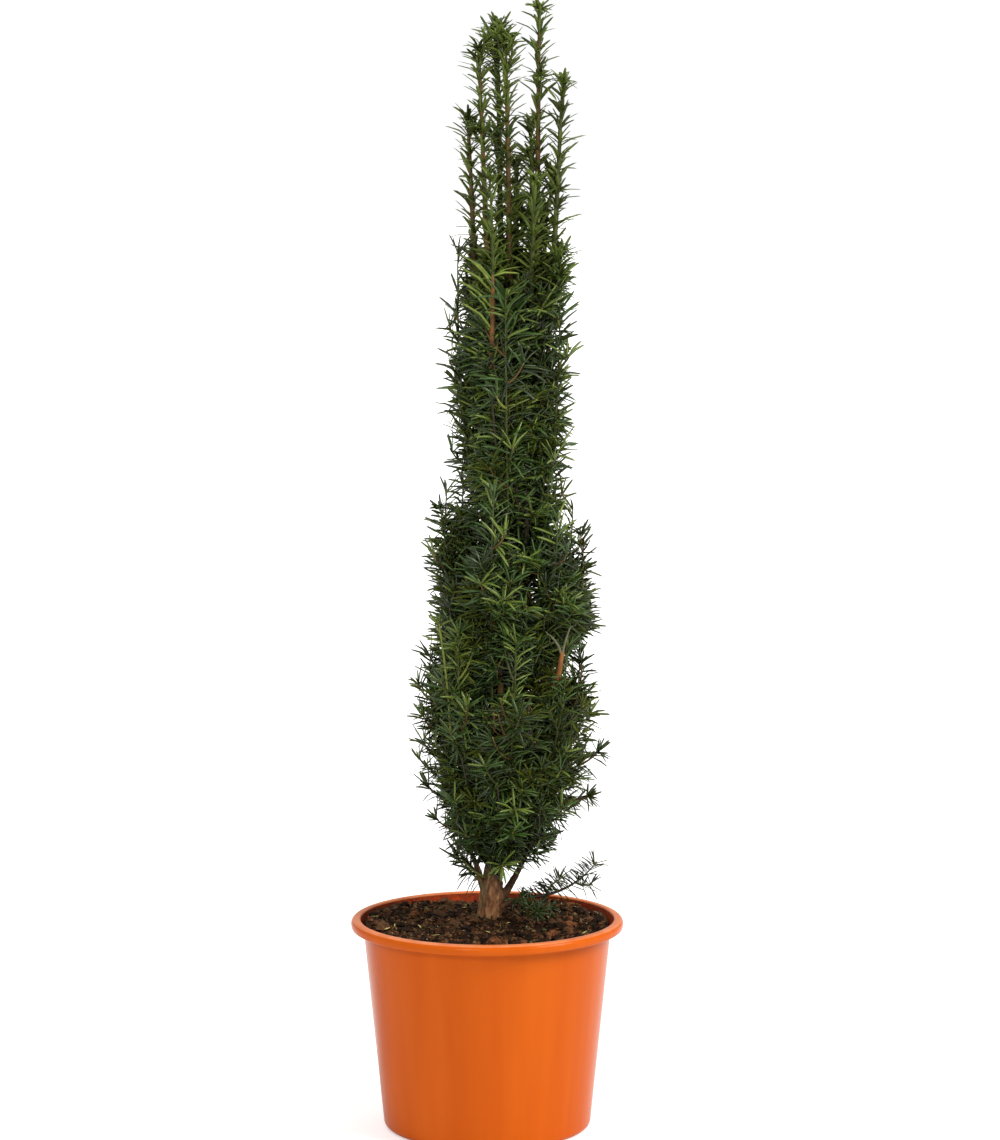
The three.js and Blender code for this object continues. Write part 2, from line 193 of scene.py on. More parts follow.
def between(tree, source, low, high, top):
    # 0 where the source is at low, up to top where it is at high
    ramp = addNode(tree, "MapRange", {"From Min": low, "From Max": high, "To Max": top, "Value": source})
    return ramp.outputs["Result"]


def mottleGroup():
    # two colours in soft patches, with a finer grain over them; it also gives the patches as a mask
    group = bpy.data.node_groups.new("mottle", "ShaderNodeTree")
    for way, name, kind in (
        ("INPUT", "Place", "Vector"), ("INPUT", "Patch Scale", "Float"), ("INPUT", "Grain Scale", "Float"),
        ("INPUT", "Grain", "Float"), ("INPUT", "Dark", "Color"), ("INPUT", "Light", "Color"),
        ("OUTPUT", "Colour", "Color"), ("OUTPUT", "Mask", "Float"),
    ):
        group.interface.new_socket(name=name, in_out=way, socket_type=f"NodeSocket{kind}")
    entry, result = group.nodes.new("NodeGroupInput").outputs, group.nodes.new("NodeGroupOutput")
    patches, grain = (
        addNode(group, "TexNoise", {"Vector": entry["Place"], "Scale": entry[scale], "Detail": detail})
        for scale, detail in (("Patch Scale", 3), ("Grain Scale", 2))
    )
    blend = addNode(group, "Mix", {0: entry["Grain"], 2: patches.outputs["Fac"], 3: grain.outputs["Fac"]})
    spread = between(group, blend.outputs[0], 0.36, 0.64, 1)
    colour = addNode(group, "Mix", {0: spread, 6: entry["Dark"], 7: entry["Light"]}, data_type="RGBA")
    feed(group, result, {"Colour": colour.outputs[2], "Mask": spread})
    return group


mottle = mottleGroup()


def startMaterial(name, finish):
    # a material with the mottle group on its colour, a range of roughness and a fine bump
    material, shader = newMaterial(name, {"Specular IOR Level": finish["specular"]})
    tree = material.node_tree
    place = addNode(tree, "TexCoord").outputs["Object"]
    stretch = addNode(tree, "Mapping", {"Scale": finish.get("stretch", (1, 1, 1)), "Vector": place})
    skin = addNode(tree, "Group", {
        "Place": stretch.outputs["Vector"], "Patch Scale": finish["patch"], "Grain Scale": finish["grain"],
        "Grain": finish.get("grainShare", 0.4),
        "Dark": (*finish["dark"], 1), "Light": (*finish["light"], 1),
    }, node_tree=mottle).outputs
    smoothest, roughest = finish["roughness"]
    rough = addNode(tree, "MapRange", {"To Min": smoothest, "To Max": roughest, "Value": skin["Mask"]})
    feed(tree, shader, {"Base Color": skin["Colour"], "Roughness": rough.outputs["Result"]})
    if "bump" in finish:
        bump = addNode(tree, "Bump", {
            "Strength": finish["bump"], "Distance": finish["bumpDepth"], "Height": skin["Mask"],
        })
        feed(tree, shader, {"Normal": bump.outputs["Normal"]})
    return material, shader, skin["Colour"]


def plainMaterial(name, colour, roughness, specular):
    return newMaterial(name, {
        "Base Color": (*colour, 1), "Roughness": roughness, "Specular IOR Level": specular,
    })[0]


def finishPiece(name, bm, materials, replaced):
    mesh = bpy.data.meshes.new(name)
    bm.to_mesh(mesh)
    bm.free()
    placePiece(name, mesh, materials, replaced)


def placePiece(name, mesh, materials, replaced, smooth=True):
    for material in materials:
        mesh.materials.append(material)
    mesh.polygons.foreach_set("use_smooth", np.full(len(mesh.polygons), smooth))
    piece = linked(name, mesh)
    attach(piece, "root")
    if replaced:
        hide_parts(*replaced)


def joinedCopies(name, corners, faces, faceSlots, materials, replaced=(), smooth=True):
    # many small closed shapes, all copies of one, as one mesh
    count, each = corners.shape[:2]
    every = (faces[None] + np.arange(count)[:, None, None] * each).reshape(-1, 3)
    arrayPiece(name, corners.reshape(-1, 3), every, faceSlots, materials, replaced, smooth)


def arrayPiece(name, corners, faces, faceSlots, materials, replaced=(), smooth=True):
    mesh = bpy.data.meshes.new(name)
    mesh.vertices.add(len(corners))
    mesh.vertices.foreach_set("co", corners.astype(np.float32).ravel())
    mesh.loops.add(faces.size)
    mesh.loops.foreach_set("vertex_index", faces.astype(np.int32).ravel())
    mesh.polygons.add(len(faces))
    mesh.polygons.foreach_set("loop_start", np.arange(0, faces.size, 3, dtype=np.int32))
    mesh.polygons.foreach_set("material_index", np.asarray(faceSlots, dtype=np.int32))
    mesh.update(calc_edges=True)
    print(f"piece: {name}, {len(faces)} triangles")
    placePiece(name, mesh, materials, replaced, smooth)


# the pot: one plastic shell turned round its axis, with a rolled rim

pot = {
    "height": 186 * mm,
    "rimRadius": 120 * mm,
    "mouthRadius": 111.5 * mm,
    "rimDepth": 8.8 * mm,
    "wallTopRadius": 109 * mm,
    "wallFootRadius": 91.5 * mm,
    "wall": 2.2 * mm,
    "floor": 3 * mm,
    "footRounding": 6 * mm,
    "rollRadius": 4.6 * mm,
    "tuckRadius": 1.8 * mm,
    "mouthRounding": 1.4 * mm,
    "underStep": 0.8 * mm,
    "paintedHighlightDepth": 1.3 * mm,
    "paintedShadeHeights": (20 * mm, 183.5 * mm),  # the heights on the inside between which the plastic is painted darker, a painted shade
    "turns": 180,
}


def arcPoints(x, z, radius, start, stop, steps):
    angles = [math.radians(mix(start, stop, i / steps)) for i in range(steps + 1)]
    return [(x + radius * math.cos(a), z + radius * math.sin(a)) for a in angles]


def potMaterials():
    outside = {
        "patch": 26.0, "grain": 90.0, "grainShare": 0.25, "stretch": (1, 1, 0.03),
        "roughness": (0.15, 0.20), "dark": srgb(198, 85, 8), "light": srgb(207, 94, 16), "specular": 0.1,
    }
    # the top of the rim is painted paler: a painted highlight where its glossy top catches the light
    lipHighlight = {
        **outside, "patch": 50.0, "roughness": (0.30, 0.36),
        "dark": srgb(210, 108, 52), "light": srgb(226, 134, 82), "specular": 0.2,
    }
    # the inside is the same plastic painted darker: a painted shade
    inside = {
        "patch": 60.0, "grain": 320.0, "grainShare": 0.5, "roughness": (0.5, 0.8),
        "dark": srgb(112, 40, 14), "light": srgb(176, 64, 12), "specular": 0.15,
    }
    return [startMaterial(name, finish)[0]
            for name, finish in (("potPlastic", outside), ("potInsidePaintedShade", inside), ("potLipPaintedHighlight", lipHighlight))]


def makePot():
    top, rimFoot = pot["height"], pot["height"] - pot["rimDepth"]
    foot, rounding, wall = pot["wallFootRadius"], pot["footRounding"], pot["wall"]
    roll, tuck, mouth = pot["rollRadius"], pot["tuckRadius"], pot["mouthRounding"]
    profile = [
        (0, pot["underStep"]),
        (foot - rounding - 9 * mm, pot["underStep"]),
        (foot - rounding - 8 * mm, 0.15 * mm),
        (foot - rounding - 6 * mm, 0),
        *arcPoints(foot - rounding, rounding, rounding, -90, -5, 8),
        (pot["wallTopRadius"] - 0.3 * mm, rimFoot - 3 * mm),
        (pot["wallTopRadius"] + 0.6 * mm, rimFoot + 0.6 * mm),
        (pot["rimRadius"] - 3.2 * mm, rimFoot + 0.2 * mm),
        *arcPoints(pot["rimRadius"] - 0.4 * mm - tuck, rimFoot + tuck, tuck, -80, -8, 4),
        *arcPoints(pot["rimRadius"] - roll, top - roll, roll, 5, 90, 8),
        *arcPoints(pot["mouthRadius"] + mouth, top - mouth, mouth, 90, 180, 5),
        (pot["wallTopRadius"] - wall + 0.4 * mm, rimFoot - 6 * mm),
        (foot - wall, pot["floor"] + rounding),
        (foot - wall - rounding + 1 * mm, pot["floor"]),
        (0, pot["floor"]),
    ]
    bm = bmesh.new()
    verts = [bm.verts.new((x, 0, z)) for x, z in profile]
    edges = [bm.edges.new(pair) for pair in zip(verts, verts[1:])]
    bmesh.ops.spin(
        bm, geom=verts + edges, cent=(0, 0, 0), axis=(0, 0, 1), angle=full,
        steps=pot["turns"], use_merge=True,
    )
    bmesh.ops.remove_doubles(bm, verts=bm.verts, dist=1e-6)
    bmesh.ops.recalc_face_normals(bm, faces=bm.faces)
    # the slots of potMaterials: the outside, the inside painted darker as painted shade, and the lip painted
    # paler as a painted highlight
    for face in bm.faces:
        place = face.calc_center_median()
        inward = face.normal.xy.dot(place.xy) < 0
        face.material_index = int(inward and pot["paintedShadeHeights"][0] < place.z < pot["paintedShadeHeights"][1])
        # faces on top of the rim take the painted highlight
        if place.z > top - pot["paintedHighlightDepth"]:
            face.material_index = 2
    finishPiece("pot_shell", bm, potMaterials(), ["pot"])


makePot()
print("stage: pot")


# the soil: a lumpy crust, with crumbs, bark chips and pale flecks lying on it

soil = {
    "edge": 178 * mm,
    "mound": 5 * mm,
    "radius": 107.6 * mm,
    "depth": 30 * mm,
    "rings": 64,
    "turns": 150,
    "lumps": [(34.0, 3.4 * mm), (80.0, 3.2 * mm), (210.0, 1.6 * mm)],
    # soil heaped against the wall: bearing and half width in degrees, height
    "banks": [(165, 62, 5.6 * mm), (35, 50, 3.2 * mm)],
    # the soil stands a little higher close round the trunk
    "padRadius": 15 * mm,
    "padRise": 1.6 * mm,
    "skirtShare": 0.955,  # the underside's radius, as a share of the crust's
    "trunkRoom": 12.5 * mm,
    "clods": 380,
    "crumbs": 2400,
    "chips": 560,
    "fibres": 230,
    "leafBits": 34,
    "yellowBits": 18,
    "flecks": 40,
    "seed": 5,
}
soilTop = soil["edge"] + soil["mound"]


def soilHeight(x, y):
    out = math.hypot(x, y) / soil["radius"]
    height = soil["edge"] + soil["mound"] * max(0, 1 - out * out)
    for bearing, width, bank in soil["banks"]:
        off = (math.degrees(math.atan2(y, x)) - bearing + 180) % 360 - 180
        height += bank * max(0, 1 - (off / width) ** 2) * smoothStep(out, 0.45, 1)
    for scale, depth in soil["lumps"]:
        height += depth * noise.noise(Vector((x * scale, y * scale, scale)))
    toTrunk = math.hypot(x - trunkFoot[0], y - trunkFoot[1])
    return height + soil["padRise"] * (1 - smoothStep(toTrunk, soil["padRadius"], 2 * soil["padRadius"]))


def makeSoil():
    bm = bmesh.new()
    bmesh.ops.create_circle(bm, segments=soil["turns"], radius=soil["radius"])
    edges = bm.edges[:]
    under, underEdges = extruded(bm, edges)
    bmesh.ops.scale(bm, verts=under, vec=(soil["skirtShare"], soil["skirtShare"], 1))
    bmesh.ops.translate(bm, verts=under, vec=(0, 0, soil["edge"] - soil["depth"]))
    bmesh.ops.edgeloop_fill(bm, edges=underEdges)
    for ring in range(1, soil["rings"]):
        verts, edges = extruded(bm, edges)
        share = (soil["rings"] - ring) / (soil["rings"] - ring + 1)
        bmesh.ops.scale(bm, verts=verts, vec=(share, share, 1))
    bmesh.ops.edgeloop_fill(bm, edges=edges)
    # the crust is still flat, and the underside lies well above it
    crust = [vert for vert in bm.verts if vert.co.z < 1 * mm]
    for vert in crust:
        vert.co.z = soilHeight(vert.co.x, vert.co.y)
    bmesh.ops.recalc_face_normals(bm, faces=bm.faces)
    finish = {
        "patch": 70.0, "grain": 520.0, "grainShare": 0.5, "roughness": (0.85, 0.98),
        "dark": srgb(16, 9, 4), "light": srgb(72, 48, 28), "specular": 0.08,
        "bump": 0.7, "bumpDepth": 1.2 * mm,
    }
    finishPiece("soil_crust", bm, [startMaterial("soilDark", finish)[0]], ["soil"])


@cache
def ballShape(segments, rows):
    # corners and triangles of a unit ball
    bm = bmesh.new()
    bmesh.ops.create_uvsphere(bm, u_segments=segments, v_segments=rows, radius=1)
    bmesh.ops.triangulate(bm, faces=bm.faces)
    corners = np.array([vert.co[:] for vert in bm.verts])
    faces = np.array([[vert.index for vert in face.verts] for face in bm.faces])
    bm.free()
    return corners, faces


def turned(random, count):
    # random turns, as one 3x3 matrix each
    made = random.normal(size=(count, 3, 3))
    first = unitRow(made[:, 0])
    second = squareTo(first, made[:, 1])
    return np.stack([first, second, np.cross(first, second)], axis=1)


def scatter(random, sizes, clear=0.0):
    # places on the soil for pieces of these sizes, clear of the trunk and of the pot's wall
    places = []
    for size in sizes:
        while True:
            x, y = random.uniform(-1, 1, 2) * soil["radius"]
            clearOfTrunk = math.hypot(x - trunkFoot[0], y - trunkFoot[1]) > soil["trunkRoom"] + clear
            if clearOfTrunk and math.hypot(x, y) < soil["radius"] - 1 * mm - size:
                break
        places.append((x, y, soilHeight(x, y)))
    return np.array(places)


def lumpy(random, corners, count, roughness):
    return corners[None] * (1 + roughness * random.normal(size=(count, len(corners), 1)).clip(-1.4, 1.4))


def lying(random, shape, count):
    # flat pieces lie on the soil, each turned its own way and a little tilted
    heading, tilt = random.uniform(0, full, count), random.normal(0, 0.28, count)
    along = np.stack([np.cos(heading) * np.cos(tilt), np.sin(heading) * np.cos(tilt), np.sin(tilt)], 1)
    side = np.stack([-np.sin(heading), np.cos(heading), np.zeros(count)], 1)
    return np.einsum("nij,nki->nkj", np.stack([along, side, np.cross(along, side)], 1), shape)


def crumbMaterials():
    return [
        startMaterial(f"crumb{tint}", {
            "patch": 260.0, "grain": 900.0, "roughness": (0.8, 0.95), "specular": 0.1,
            "dark": srgb(*dark), "light": srgb(*light), "bump": 0.5, "bumpDepth": 0.6 * mm,
        })[0]
        for tint, dark, light in (
            ("Peat", (14, 8, 5), (46, 30, 18)),
            ("Bark", (46, 31, 19), (108, 75, 48)),
            ("Rust", (68, 38, 21), (132, 82, 50)),
            ("Tan", (92, 72, 46), (140, 116, 80)),
            ("Olive", (56, 54, 30), (98, 96, 56)),
        )
    ]


def layOnSoil(name, shape, faces, places, kinds, materials, smooth=True):
    slots = np.repeat(kinds, len(faces))
    joinedCopies(name, shape + places[:, None], faces, slots, materials, smooth=smooth)


def makeClods(random, tints):
    corners, faces = ballShape(6, 5)
    count = soil["clods"]
    size = (1.5 + 5.0 * random.random(count) ** 1.8) * mm
    places = scatter(random, 1.5 * size, 2 * mm)
    shape = lumpy(random, corners, count, 0.12)
    shape *= random.uniform([0.8, 0.7, 0.5], [1.5, 1.1, 0.8], (count, 3))[:, None]
    for i in range(count):
        bumps = [noise.noise(Vector(corner) * 1.7 + Vector((i, 0, 0))) for corner in corners]
        shape[i] *= 1 + 0.6 * np.array(bumps)[:, None]
    shape = lying(random, shape * size[:, None, None], count)
    kinds = random.choice(5, count, p=[0.58, 0.26, 0.14, 0.01, 0.01])
    layOnSoil("soil_clods", shape, faces, places, kinds, tints, smooth=False)


def makeCrumbs(random, tints):
    corners, faces = ballShape(5, 3)
    count = soil["crumbs"]
    size = 0.5 * mm + 1.6 * mm * random.random(count) ** 2.6
    shape = lumpy(random, corners, count, 0.35)
    shape *= random.uniform([0.7, 0.7, 0.5], [1.5, 1.2, 1.0], (count, 3))[:, None]
    shape = np.einsum("nij,nkj->nki", turned(random, count), shape) * size[:, None, None]
    places = scatter(random, size)
    places[:, 2] += size * 0.6
    kinds = random.choice(5, count, p=[0.56, 0.28, 0.12, 0.02, 0.02])
    layOnSoil("soil_crumbs", shape, faces, places, kinds, tints)


def makeChips(random, tints):
    # bark chips, flat and splintered, and thin pale fibres
    corners, faces = ballShape(5, 3)
    count = soil["chips"] + soil["fibres"]
    thin = np.arange(count) >= soil["chips"]
    girth = np.stack([
        random.uniform(1.4, 5.0, count), np.where(thin, 0.26, random.uniform(0.4, 1.6, count)),
        np.where(thin, 0.22, random.uniform(0.25, 0.5, count)),
    ], 1)
    shape = lying(random, lumpy(random, corners, count, 0.2) * girth[:, None] * mm, count)
    places = scatter(random, girth[:, 0] * mm)
    places[:, 2] += 1.3 * mm
    chipKinds = random.choice(5, count, p=[0.20, 0.42, 0.22, 0.08, 0.08])
    fibreKinds = random.choice(5, count, p=[0.0, 0.30, 0.0, 0.46, 0.24])
    layOnSoil("soil_chips", shape, faces, places, np.where(thin, fibreKinds, chipKinds), tints)


def makeLeafBits(random):
    # dead leaf bits, the newest of them pale yellow, and pale flecks
    corners, faces = ballShape(5, 3)
    materials = [
        plainMaterial("leafOld", srgb(104, 92, 46), 0.7, 0.3),
        plainMaterial("leafYellow", srgb(200, 188, 112), 0.6, 0.3),
        plainMaterial("fleckPale", srgb(158, 140, 116), 0.85, 0.3),
    ]
    counts = [soil["leafBits"], soil["yellowBits"], soil["flecks"]]
    count, kinds = sum(counts), np.repeat([0, 1, 2], counts)
    longest = np.array([4.2, 4.8, 0.9])[kinds] * random.uniform(0.6, 1.25, count)
    widest = np.array([0.8, 1.15, 0.7])[kinds] * random.uniform(0.6, 1.25, count)
    girth = np.stack([longest, widest, np.array([0.16, 0.16, 0.5])[kinds]], 1)
    shape = lying(random, lumpy(random, corners, count, 0.12) * girth[:, None] * mm, count)
    places = scatter(random, longest * mm)
    places[:, 2] += 2.0 * mm
    layOnSoil("soil_leaf_bits", shape, faces, places, kinds, materials)


def litterSoil():
    random = np.random.default_rng(soil["seed"])
    tints = crumbMaterials()
    makeClods(random, tints)
    makeCrumbs(random, tints)
    makeChips(random, tints)
    makeLeafBits(random)


# limbs: the trunk and the boughs, along the same lines as the solids

trunk = {
    "path": [
        (2, 6, 183.3), (7, 5, 250), (11, 3, 340), (10, 1, 430),
        (20, 1, 505), (26, 2, 570), (35, 3, 660), (43, 4, 744),
    ],
    "footRadius": 8.2,
    "tipRadius": 1.9,
    "taper": 0.85,
    "flare": 2.6,
    "forkHeight": 214,
    "forkSpan": 14,
    "rootFlare": 0.2,
    "rootFlareHeight": 7,
    "sides": 56,
    "rowLength": 2.0,
    "relief": 0.75,
    "sunk": 5,
    "lineSteps": 40,
}
trunkFoot = (trunk["path"][0][0] * mm, trunk["path"][0][1] * mm)
boughStyle = {
    "tipRadius": 1.6, "taper": 0.9, "sides": 16, "rowLength": 2.4, "relief": 0.36, "collar": 0.45,
    "collarLength": 9, "pastFoot": 1.02, "lineSteps": 12,
}


def splineThrough(points, shares):
    # a centripetal curve through points, at shares of its spans
    points = np.array(points, float)
    spans = len(points) - 1
    ends = np.vstack([2 * points[0] - points[1], points, 2 * points[-1] - points[-2]])
    found = []
    for share in np.atleast_1d(shares):
        place = share * spans
        i = min(int(place), spans - 1)
        w = place - i
        p0, p1, p2, p3 = ends[i:i + 4]
        d0, d1, d2 = (np.linalg.norm(b - a) ** 0.5 for a, b in ((p0, p1), (p1, p2), (p2, p3)))
        t1 = ((p1 - p0) / d0 - (p2 - p0) / (d0 + d1) + (p2 - p1) / d1) * d1
        t2 = ((p2 - p1) / d1 - (p3 - p1) / (d1 + d2) + (p3 - p2) / d2) * d1
        square, cube = 3 * (p2 - p1) - 2 * t1 - t2, 2 * (p1 - p2) + t1 + t2
        found.append(p1 + t1 * w + square * w ** 2 + cube * w ** 3)
    return np.array(found)


def bezier(controls, shares):
    rows = np.array(controls, float)[None].repeat(len(shares), 0)
    while rows.shape[1] > 1:
        rows = rows[:, :-1] + (rows[:, 1:] - rows[:, :-1]) * np.asarray(shares)[:, None, None]
    return rows[:, 0]


def trunkPoint(share):
    return splineThrough(trunk["path"], share)[0]


def trunkRadius(share, height):
    radius = mix(trunk["tipRadius"], trunk["footRadius"], (1 - share) ** trunk["taper"])
    fork, span = trunk["forkHeight"], trunk["forkSpan"]
    belowFork = 1 - smoothStep(height, fork - span, fork + span)
    atFoot = math.exp(min(0, (soilTop / mm - height) / trunk["rootFlareHeight"]))
    return radius + trunk["flare"] * belowFork + trunk["rootFlare"] * atFoot


def trunkShare(height):
    low, high = 0.0, 1.0
    for _ in range(30):
        middle = (low + high) / 2
        low, high = (middle, high) if trunkPoint(middle)[2] < height else (low, middle)
    return low


def boughControls(leaving, foot, direction):
    start = trunkPoint(trunkShare(leaving))
    rise = foot[2] - start[2]
    outward = np.array([foot[0] - start[0], foot[1] - start[1], 0])
    return [start, start + outward * 0.45 + [0, 0, rise * 0.3], foot - direction * rise * 0.4, foot]


def barkNoises(seed):
    # scale across, scale along and start of the ribs, the scales, the grain and the fissures
    return (0.33, 0.045, seed), (0.8, 0.2, seed), (2.2, 0.9, seed), (0.42, 0.05, -seed)


def barkLift(angle, along, radius, seed):
    # long shallow ribs, flaking scales, a fine grain and narrow fissures, as a share of the relief
    x, y = math.cos(angle) * radius, math.sin(angle) * radius
    ribs, scales, grain, split = (
        noise.noise(Vector((x * fine, y * fine, along * upright + start)))
        for fine, upright, start in barkNoises(seed)
    )
    fissures = 1 - smoothStep(abs(split), 0, 0.12)
    return 1.1 * ribs + 0.5 * smoothStep(scales, 0.02, 0.16) + 0.35 * grain - 1.1 * fissures


def limbTube(bm, centres, radii, sides, relief, seed):
    # a unit tube, one row per centre, wrapped onto the line through the centres
    made = bmesh.ops.create_circle(bm, cap_ends=True, segments=sides, radius=1)["verts"]
    rowVerts = [made]
    edges = list(dict.fromkeys(edge for vert in made for edge in vert.link_edges))
    for _ in centres[1:]:
        verts, edges = extruded(bm, edges)
        rowVerts.append(verts)
    bmesh.ops.edgeloop_fill(bm, edges=edges)
    crest = bm.verts.layers.float["crest"]
    tangents = unitRow(np.gradient(centres, axis=0))
    lengths = np.r_[0, stepLengths(centres).cumsum()]
    for centre, tangent, radius, length, verts in zip(centres, tangents, radii, lengths, rowVerts):
        first = squareTo(tangent, np.array([1.0, 0, 0]))
        second = np.cross(tangent, first)
        for vert in verts:
            angle = math.atan2(vert.co.y, vert.co.x)
            share = barkLift(angle, length, radius, seed)
            vert[crest] = share
            outward = first * math.cos(angle) + second * math.sin(angle)
            vert.co = (centre + outward * (radius + relief * share)) * mm


bark = {
    "patch": 120.0, "grain": 620.0, "grainShare": 0.45, "roughness": (0.66, 0.9), "stretch": (1, 1, 0.35),
    "dark": srgb(84, 58, 40), "light": srgb(146, 100, 66), "specular": 0.3, "bump": 0.55,
    "bumpDepth": 0.7 * mm,
    "fissureShade": srgb(34, 23, 16), "foot": srgb(172, 116, 70), "shade": srgb(58, 44, 32),
    "algae": srgb(96, 98, 66), "inside": srgb(176, 132, 96),
    "flake": srgb(190, 142, 98), "damp": srgb(62, 42, 30),
}


def barkMaterial():
    # light bark at the foot, with pale and damp flakes and thin algae; painted shade in the fissures, from
    # the fork up and on the right, and bark painted paler again high in the crown as painted light
    material, shader, colour = startMaterial("barkFlaking", bark)
    tree = material.node_tree
    place = addNode(tree, "TexCoord").outputs["Object"]
    axes = addNode(tree, "SeparateXYZ", {"Vector": place}).outputs
    crest = addNode(tree, "Attribute", attribute_name="crest").outputs["Fac"]
    patches = addNode(tree, "TexNoise", {"Scale": 170, "Vector": place}).outputs["Fac"]
    upright = addNode(tree, "Mapping", {"Scale": (1, 1, 0.3), "Vector": place}).outputs["Vector"]
    flakes = addNode(tree, "TexNoise", {"Scale": 380, "Vector": upright}).outputs["Fac"]
    leftSide = between(tree, axes["X"], 3 * mm, -7 * mm, 0.8)
    inPatches = between(tree, patches, 0.42, 0.58, 1)
    algae = addNode(tree, "Math", {0: leftSide, 1: inPatches}, operation="MULTIPLY").outputs["Value"]
    # each tone lies over the ones before it: its source, where it begins, where it is full, and how full
    for tone, source, low, high, top in (
        ("foot", axes["Z"], 222 * mm, 188 * mm, 0.75),
        ("flake", flakes, 0.52, 0.66, 0.6),
        ("damp", flakes, 0.47, 0.34, 0.7),
        ("algae", algae, 0, 1, 1),
        # painted shade: darker where the bark's relief lies low, in the fissures and hollows
        ("fissureShade", crest, 0, -1, 0.6),
        # painted shade: darker bark from the fork up and on the right, where the foliage shades it
        ("shade", axes["Z"], 216 * mm, 262 * mm, 0.8),
        ("shade", axes["X"], 10 * mm, 17 * mm, 0.8),
        # painted light: paler bark high in the crown, standing in for light that the foliage's shade keeps
        # off
        ("inside", axes["Z"], 300 * mm, 350 * mm, 0.8),
    ):
        share = between(tree, source, low, high, top)
        blend = addNode(tree, "Mix", {0: share, 6: colour, 7: (*bark[tone], 1)}, data_type="RGBA")
        colour = blend.outputs[2]
    feed(tree, shader, {"Base Color": colour})
    return material


def makeTrunk(material):
    length = trunk["path"][-1][2] - trunk["path"][0][2]
    rows = int(length / trunk["rowLength"])
    shares = np.linspace(0, 1, rows + 1)
    centres = splineThrough(trunk["path"], shares)
    radii = [trunkRadius(share, centre[2]) for share, centre in zip(shares, centres)]
    # the foot goes down into the crust, which lies round it
    sunk = centres[0] - [0, 0, trunk["sunk"]]
    bm = bmesh.new()
    bm.verts.layers.float.new("crest")
    limbTube(bm, np.vstack([sunk, centres]), [radii[0], *radii], trunk["sides"], trunk["relief"], 3.0)
    bmesh.ops.recalc_face_normals(bm, faces=bm.faces)
    finishPiece("trunk_bark", bm, [material], ["trunk"])


# where the masses of foliage stand: the rings and leaders of the solids; here the low right bough leaves
# the trunk a little lower, and the low spray bows a little further

rings = [
    {
        "name": "low",
        "sides": ["left", "front_left", "front", "front_right", "right", "back_right", "back", "back_left"],
        "firstBearing": 188,
        "foot": ((11, 4), 25, 243),
        "tip": ((16, 0), 66, 430),
        "tipRise": [-10, 16, 10, 0, -12, 10, 7, 14],
        "leaves": [196, None, None, None, 189, None, None, None],
        "bow": 0.12,
        "sideShoots": 6,
        "sideLength": 56,
        "boughRadius": 4.2,
        "extraShoots": 28,
        "innerShoots": 9,
        "lean": (76, 44),
        "needles": {"length": 22.0, "width": 2.3, "curl": (-0.16, 0.14), "spacing": 1.45},
        "tints": (0.15, 0.43, 0.21, 0.02, 0.19),
    },
    {
        "name": "middle",
        "sides": ["left", "front_left", "front_right", "right", "back_right", "back_left"],
        "firstBearing": 196,
        "foot": ((13, 0), 34, 378),
        "tip": ((20, 0), 57, 550),
        "tipRise": [14, 18, -6, -4, 0, 16],
        "leaves": [284, 302, 292, 276, 310, 296],
        "bow": 0.08,
        "sideShoots": 6,
        "sideLength": 48,
        "boughRadius": 3.1,
        "extraShoots": 30,
        "innerShoots": 12,
        "lean": (72, 42),
        "needles": {"length": 24.0, "width": 2.5, "curl": (-0.22, 0.14), "spacing": 1.5},
        "tints": (0.42, 0.42, 0.08, 0.0, 0.08),
    },
    {
        "name": "upper",
        "sides": ["left", "front_left", "front_right", "back_right", "back_left"],
        "firstBearing": 193,
        "foot": ((21, 0), 28, 524),
        "tip": ((20, 0), 46, 760),
        "tipRise": [10, -26, -10, 16, 4],
        "leaves": [430, 452, 444, 436, 462],
        "bow": 0.05,
        "sideShoots": 7,
        "sideLength": 42,
        "boughRadius": 2.7,
        "extraShoots": 34,
        "innerShoots": 16,
        "lean": (64, 38),
        "needles": {"length": 28.0, "width": 2.7, "curl": (-0.30, 0.14), "spacing": 1.6},
        "tints": (0.27, 0.38, 0.27, 0.02, 0.06),
    },
]
leaderStyle = {
    "sideLength": 34, "boughRadius": 2.4, "extraShoots": 3, "extraSpan": (0.0, 0.25), "lean": (40, 26),
    "tints": (0.0, 0.03, 0.16, 0.55, 0.26),
}
# wood, foot and tip of each, the height at which its bough leaves the trunk, and its side shoots
leaders = {
    "tall": ("brown", (43, 4, 744.3), (45, 5, 978), None, 3),
    "left_outer": ("brown", (3, -8, 706), (-7, -9, 944), 560, 2),
    "left_middle": ("olive", (13, 9, 716), (9, 9, 964), 604, 2),
    "left_inner": ("brown", (21, -9, 712), (16, -5, 956), 632, 1),
    "right": ("olive", (55, -6, 708), (65, -6, 916), 592, 2),
    "far_left": ("brown", (-8, 6, 700), (-16, 3, 884), 536, 1),
    "middle": ("olive", (40, 17, 716), (38, 21, 880), 640, 1),
    "middle_back": ("olive", (25, 21, 712), (25, 22, 846), 580, 1),
    "front": ("olive", (37, -18, 700), (41, -23, 834), 618, 1),
}
lowSpray = {
    "name": "foliage_low_spray", "foot": (31, -2, 204), "tip": (95, -9, 236), "bow": (9, 0, -15),
    "leaves": 190, "sideShoots": 2, "sideLength": 24, "boughRadius": 2.4, "extraShoots": 0,
    "lean": (112, 76), "wood": "dark", "tints": (0.9, 0.1, 0.0, 0.0, 0.0),
}
massStyle = {
    "lineSteps": 16,
    "stemSunk": 4,  # a stem without a bough starts in the trunk, this far below its foot
    "boughGap": 0.3,
    "aboveSoil": 5,
}


def seeded(seed):
    # Park-Miller numbers from 0 to 1, the solids' own
    modulus = 2 ** 31 - 1
    state = (seed * 48271 + 1) % modulus
    while True:
        state = state * 16807 % modulus
        yield state / modulus


